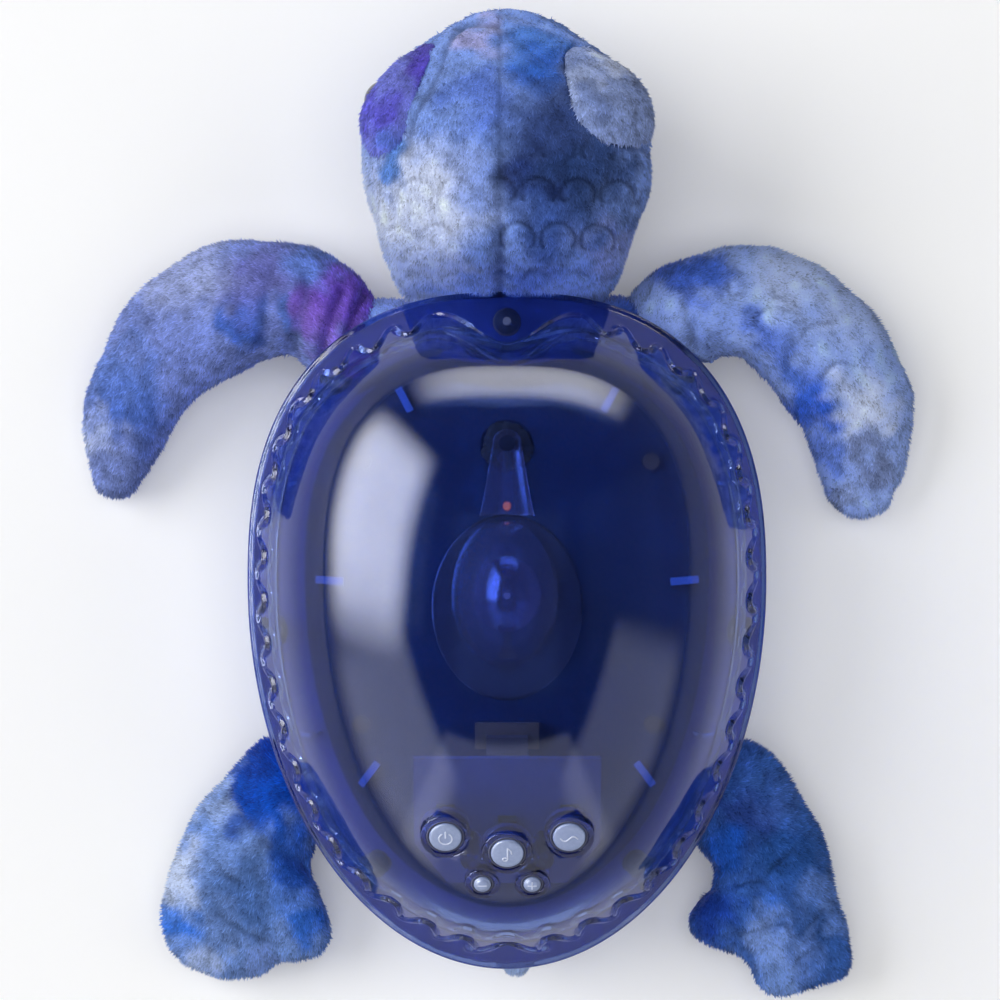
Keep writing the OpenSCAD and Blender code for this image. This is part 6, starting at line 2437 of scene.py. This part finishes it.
def plush_front_right() -> SweptLimb:
    """The right front flipper, with short pressed lines.

    Returns:
        The piece.
    """
    stations = ((-16, -14, 15, 14, 22), (-3.4, 10, 18, 16, 22), (10, 16, 18, 17, 21), (28, 15.7, 20, 17, 19),
                (46, 3.3, 22.5, 15, 16.5), (58.3, -13.6, 21.3, 12.5, 13.5), (62.6, -32.9, 17, 10, 11),
                (62.2, -48.8, 11.5, 7, 9))
    spots = (DyeSpot(62, 124, 13, "#4264c6", 0.85), DyeSpot(70, 127, 9, "#4f70cc", 0.7),
             DyeSpot(73, 105, 10, "#7890d0", 0.6), DyeSpot(87, 105, 7, "#5272ce", 0.7),
             DyeSpot(95, 99, 9, "#6080d8", 0.7), DyeSpot(106, 81, 9, "#3660c6", 0.9),
             DyeSpot(99, 89, 8, "#4f74d0", 0.75), DyeSpot(109, 75, 8, "#466aca", 0.8),
             DyeSpot(100, 126, 16, "#c2d2f8", 0.8), DyeSpot(121, 114, 15, "#b8caf6", 0.75),
             DyeSpot(124, 77, 13, "#dce6fc", 0.85), DyeSpot(113, 62, 8, "#6481d0", 0.75),
             DyeSpot(128, 59, 9, "#7682a6", 0.75), DyeSpot(119, 45, 9, "#7c88a6", 0.75))
    grooves = (Groove(((61, 121), (63, 109), (66, 97)), 1.6, 2.0, 0.3),
               Groove(((77, 120.5), (78.2, 116.6), (82.1, 117.3)), **PRESSED),
               Groove(((93.2, 119), (93.6, 116), (96.7, 115.4)), **PRESSED),
               Groove(((86, 108), (92, 112), (99, 111)), **PRESSED),
               Groove(((103, 102), (107, 106.5), (113, 107)), **PRESSED),
               Groove(((110, 88), (115, 93), (121, 92)), **PRESSED))
    return SweptLimb("plush_front_right", "front_right_flipper", "#a0b7f0", seed=9, anchor=(62.4, 97.3),
                     tip=(-1.0, -9.0), stations=stations, spots=spots, grooves=grooves)


def plush_rear_left() -> PillowLimb:
    """The left rear flipper, with a notch in its edge and pressed lines.

    Returns:
        The piece.
    """
    outline = ((-85.1, -39.9), (-96.8, -50.5), (-106.8, -62.1), (-114.5, -75), (-119.8, -88), (-122, -98.6),
               (-121.5, -106), (-118.5, -113.8), (-111.5, -120.1), (-102.8, -123.3), (-96.8, -123.8),
               (-89.7, -123.1), (-85.1, -121.1), (-81.6, -117.9), (-78.1, -116.4), (-73.5, -116.2),
               (-67.5, -115.3), (-64.6, -112.6), (-62.9, -109.1), (-63.2, -104.4), (-65.2, -97.3),
               (-66.9, -92.6), (-68.4, -88), (-69, -83.2), (-67, -74), (-64, -64), (-66, -52), (-73, -42))
    spots = (DyeSpot(-84, -50, 18, "#083392", 0.96), DyeSpot(-86, -60, 13, "#1a4aac", 0.85),
             DyeSpot(-77, -71, 9, "#1c4cac", 0.85), DyeSpot(-75, -82, 10, "#2c58b2", 0.85),
             DyeSpot(-118, -86, 13, "#ccd8f0", 0.85), DyeSpot(-104, -60, 9, "#a5b9e2", 0.6),
             DyeSpot(-114, -104, 7, "#467ad8", 0.9), DyeSpot(-66, -106, 9, "#366ac8", 0.85),
             DyeSpot(-73, -94, 9, "#5378c4", 0.75), DyeSpot(-90, -96, 14, "#4a6ba8", 0.75),
             DyeSpot(-106, -119, 8, "#b4c4e8", 0.75), DyeSpot(-86, -116, 7, "#86a0de", 0.7))
    grooves = (Groove(((-94.7, -62.7), (-92, -66), (-89.5, -68.7)), **PRESSED),
               Groove(((-105.6, -78.8), (-97.5, -86.5), (-93.3, -89.3)), **PRESSED),
               Groove(((-101.7, -100.5), (-88.8, -108.5), (-80.7, -111.3)), **PRESSED),
               Groove(((-69, -83), (-76, -80), (-84, -74)), 2.4, 2.8, 0.3))
    return PillowLimb("plush_rear_left", "rear_left_flipper", "#738fc8", seed=13, middle=(-92.0, -84.0),
                      root=(-68.0, -55.0), outline=outline, spots=spots, grooves=grooves)


def plush_rear_right() -> PillowLimb:
    """The right rear flipper, with a notch in its edge and pressed lines.

    Returns:
        The piece.
    """
    outline = ((85.3, -40.5), (92.9, -45.7), (101.7, -56.8), (108.7, -68.5), (112.8, -82.1), (115.8, -92.6),
               (119.2, -104.9), (121.2, -117.5), (121, -121.4), (118.7, -124.3), (110.4, -127.2),
               (102.3, -130.2), (97.6, -130.9), (92.9, -129.6), (88.8, -125.4), (85.3, -119.6),
               (82.4, -116.1), (78.2, -114.3), (72.4, -112.3), (67.6, -108.5), (65.9, -104.9), (66.5, -100.9),
               (69.4, -96.1), (72.4, -92.1), (73.4, -86.8), (72.4, -82.1), (68.3, -77.1), (64, -66),
               (66, -52), (73, -42))
    spots = (DyeSpot(84, -66, 14, "#32488c", 0.9), DyeSpot(77, -78, 9, "#2e5cba", 0.8),
             DyeSpot(72, -100, 10, "#2947a4", 0.9), DyeSpot(96, -62, 11, "#5474be", 0.6),
             DyeSpot(83, -48, 8, "#4a6cb4", 0.7), DyeSpot(99, -80, 13, "#2a4e8c", 0.75),
             DyeSpot(113, -96, 10, "#7292d6", 0.75), DyeSpot(93, -112, 13, "#96b2ec", 0.8),
             DyeSpot(107, -118, 9, "#7896da", 0.6), DyeSpot(96, -126, 7, "#88a6e2", 0.75))
    grooves = (Groove(((90.6, -51.5), (90.2, -53.2), (89.9, -55)), **PRESSED),
               Groove(((100.1, -77.4), (96, -81), (91.3, -85.5)), **PRESSED),
               Groove(((80.1, -90), (88.5, -89), (93.8, -92.8)), **PRESSED),
               Groove(((110.9, -99.8), (108, -103), (104.6, -106.8)), **PRESSED),
               Groove(((82.6, -108.2), (96.6, -104.3), (100.1, -108.5)), **PRESSED),
               Groove(((108.1, -113.1), (105, -115), (101.8, -117.3)), **PRESSED))
    return PillowLimb("plush_rear_right", "rear_right_flipper", "#4468b0", seed=17, middle=(93.0, -84.0),
                      root=(68.0, -55.0), outline=outline, spots=spots, grooves=grooves)


def plush_tail() -> SweptLimb:
    """The tip of the tail under the shell's edge.

    Returns:
        The piece.
    """
    stations = ((3, 16, 9, 8, 20), (3, 6, 7.5, 7, 19), (3.2, -1, 5, 5, 18), (3.2, -3.5, 3.2, 3.4, 17.5))
    return SweptLimb("plush_tail", "tail", "#a9bfe8", seed=23, slot="plush_pale", anchor=(0.0, -116.75),
                     tip=(0.0, -1.4), rings=60, sides=72, lumps=0.2, skip=0.3, stations=stations)


def plush_body_ring() -> BodyRing:
    """The ring under the shell's rim.

    Returns:
        The piece.
    """
    spots = (DyeSpot(-40, 118, 14, "#8fa4ee", 0.7), DyeSpot(45, 112, 20, "#2c4ba6", 0.9),
             DyeSpot(-80, 0, 40, "#6284d8", 0.5), DyeSpot(0, 112, 22, "#6f94f0", 0.7),
             DyeSpot(-70, -65, 18, "#3461c0", 0.7), DyeSpot(70, -65, 18, "#3a60b8", 0.6))
    return BodyRing("plush_body_ring", "plush_body", "#86a4ea", seed=29, density=1.2, spots=spots)


def plush_pieces() -> list[StuffedPiece]:
    """Every stuffed piece of this turtle.

    Returns:
        The pieces, in the order in which they are made.
    """
    head = plush_head()
    return [head, plush_eyelid_left(head), plush_eyelid_right(head), plush_front_left(), plush_front_right(),
            plush_rear_left(), plush_rear_right(), plush_tail(), plush_body_ring()]


def bead_eyes(material: Material) -> Object:
    """Two glossy eye beads under the lids.

    Args:
        material: Finish of the beads.

    Returns:
        The piece.
    """
    radius, rows = 7.5, 28
    fall = np.linspace(0, math.pi, rows)
    profile = [(radius * math.sin(a), radius * math.cos(a)) for a in fall]
    profile[0], profile[-1] = (0.0, radius), (0.0, -radius)
    eyes = [lathe(profile, 48, Matrix.Translation((side * EYE[0], *EYE[1:]))) for side in (1, -1)]
    piece = Skin.merged(eyes).piece("eye_beads", material)
    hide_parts("eyes")
    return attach(piece, "turtle")


def main() -> None:
    """Build every sub-assembly in order."""
    logging.basicConfig(level=logging.INFO, format="%(message)s")
    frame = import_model()
    Studio().build()
    plush, nap, sleeves = Plush(), NapTree(), SleeveTree()
    cloth, tufts = plush.backing(), plush.nap()
    # Tinted styrene: high gloss, a deep blue where the eye looks along the wall.  The shell's index is under
    # the real 1.59, so that it mirrors less of the white floor, and the hood's is over it, so that it shows.
    clear = ClearPlastic("styrene_shell_blue", "#6278b6", 0.05, 0.99, 1.28, 26.0).build()
    lens = ClearPlastic("styrene_hood_violet", "#c4bad2", 0.04, 0.96, 1.8, 14.0).build()
    # Cast acrylic with a rippled face: clear, with a soft haze.
    ripple = ClearPlastic("acrylic_ripple_violet", "#5b519e", 0.2, 0.9, 1.49, 1.5).build()
    panel = ButtonPanel()
    made: list[Object] = []
    for piece in plush_pieces():
        made += piece.dress(cloth, tufts, nap)
    # Polished acrylic: black, with sharp lights.
    made.append(bead_eyes(Finish("acrylic_eye_black", "#08080a", "#0e0e12", 0.08, grain_mm=2.0, bump_mm=0.002,
                                 coat=0.6).build()))
    # Moulded ABS: an even satin gloss with a fine grain.
    seat = Finish("abs_boss_seat_brown", "#4a3527", "#5a4232", 0.5, grain_mm=0.7).build()
    made += WaveShell().dress(clear, seat, sleeves, panel)
    cap = Finish("abs_cap_pale", "#7d8cb4", "#8b9abf", 0.42, grain_mm=1.3, bump_mm=0.03).build()
    # Pressed signs are smoother than their caps, and the dark rings of painted shade round the caps are matt.
    made += panel.dress(clear, cap, Finish("abs_sign_pressed", "#ccd4ea", "#bcc5de", 0.35).build(),
                        Finish("painted_gap_shade_navy", "#141a38", "#1b2244", 0.6, grain_mm=0.6).build(), sleeves)
    # Torn foam: matt black, with open pores.
    made += Hood().dress(lens, Finish("eva_foam_black", "#0d0d10", "#17171b", 0.95, grain_mm=0.8,
                                      bump_mm=0.15).build())
    count = Works().dress(frame["nodes"])
    wheel = frame["nodes"]["ripple_wheel"].data.materials
    wheel.clear()
    wheel.append(ripple)
    for piece in made:
        LOG.info("piece %s: %d faces", piece.name, len(piece.data.polygons))
    LOG.info("dressed %d pieces and %d frame nodes", len(made), count + 1)


if __name__ == "__main__":
    main()
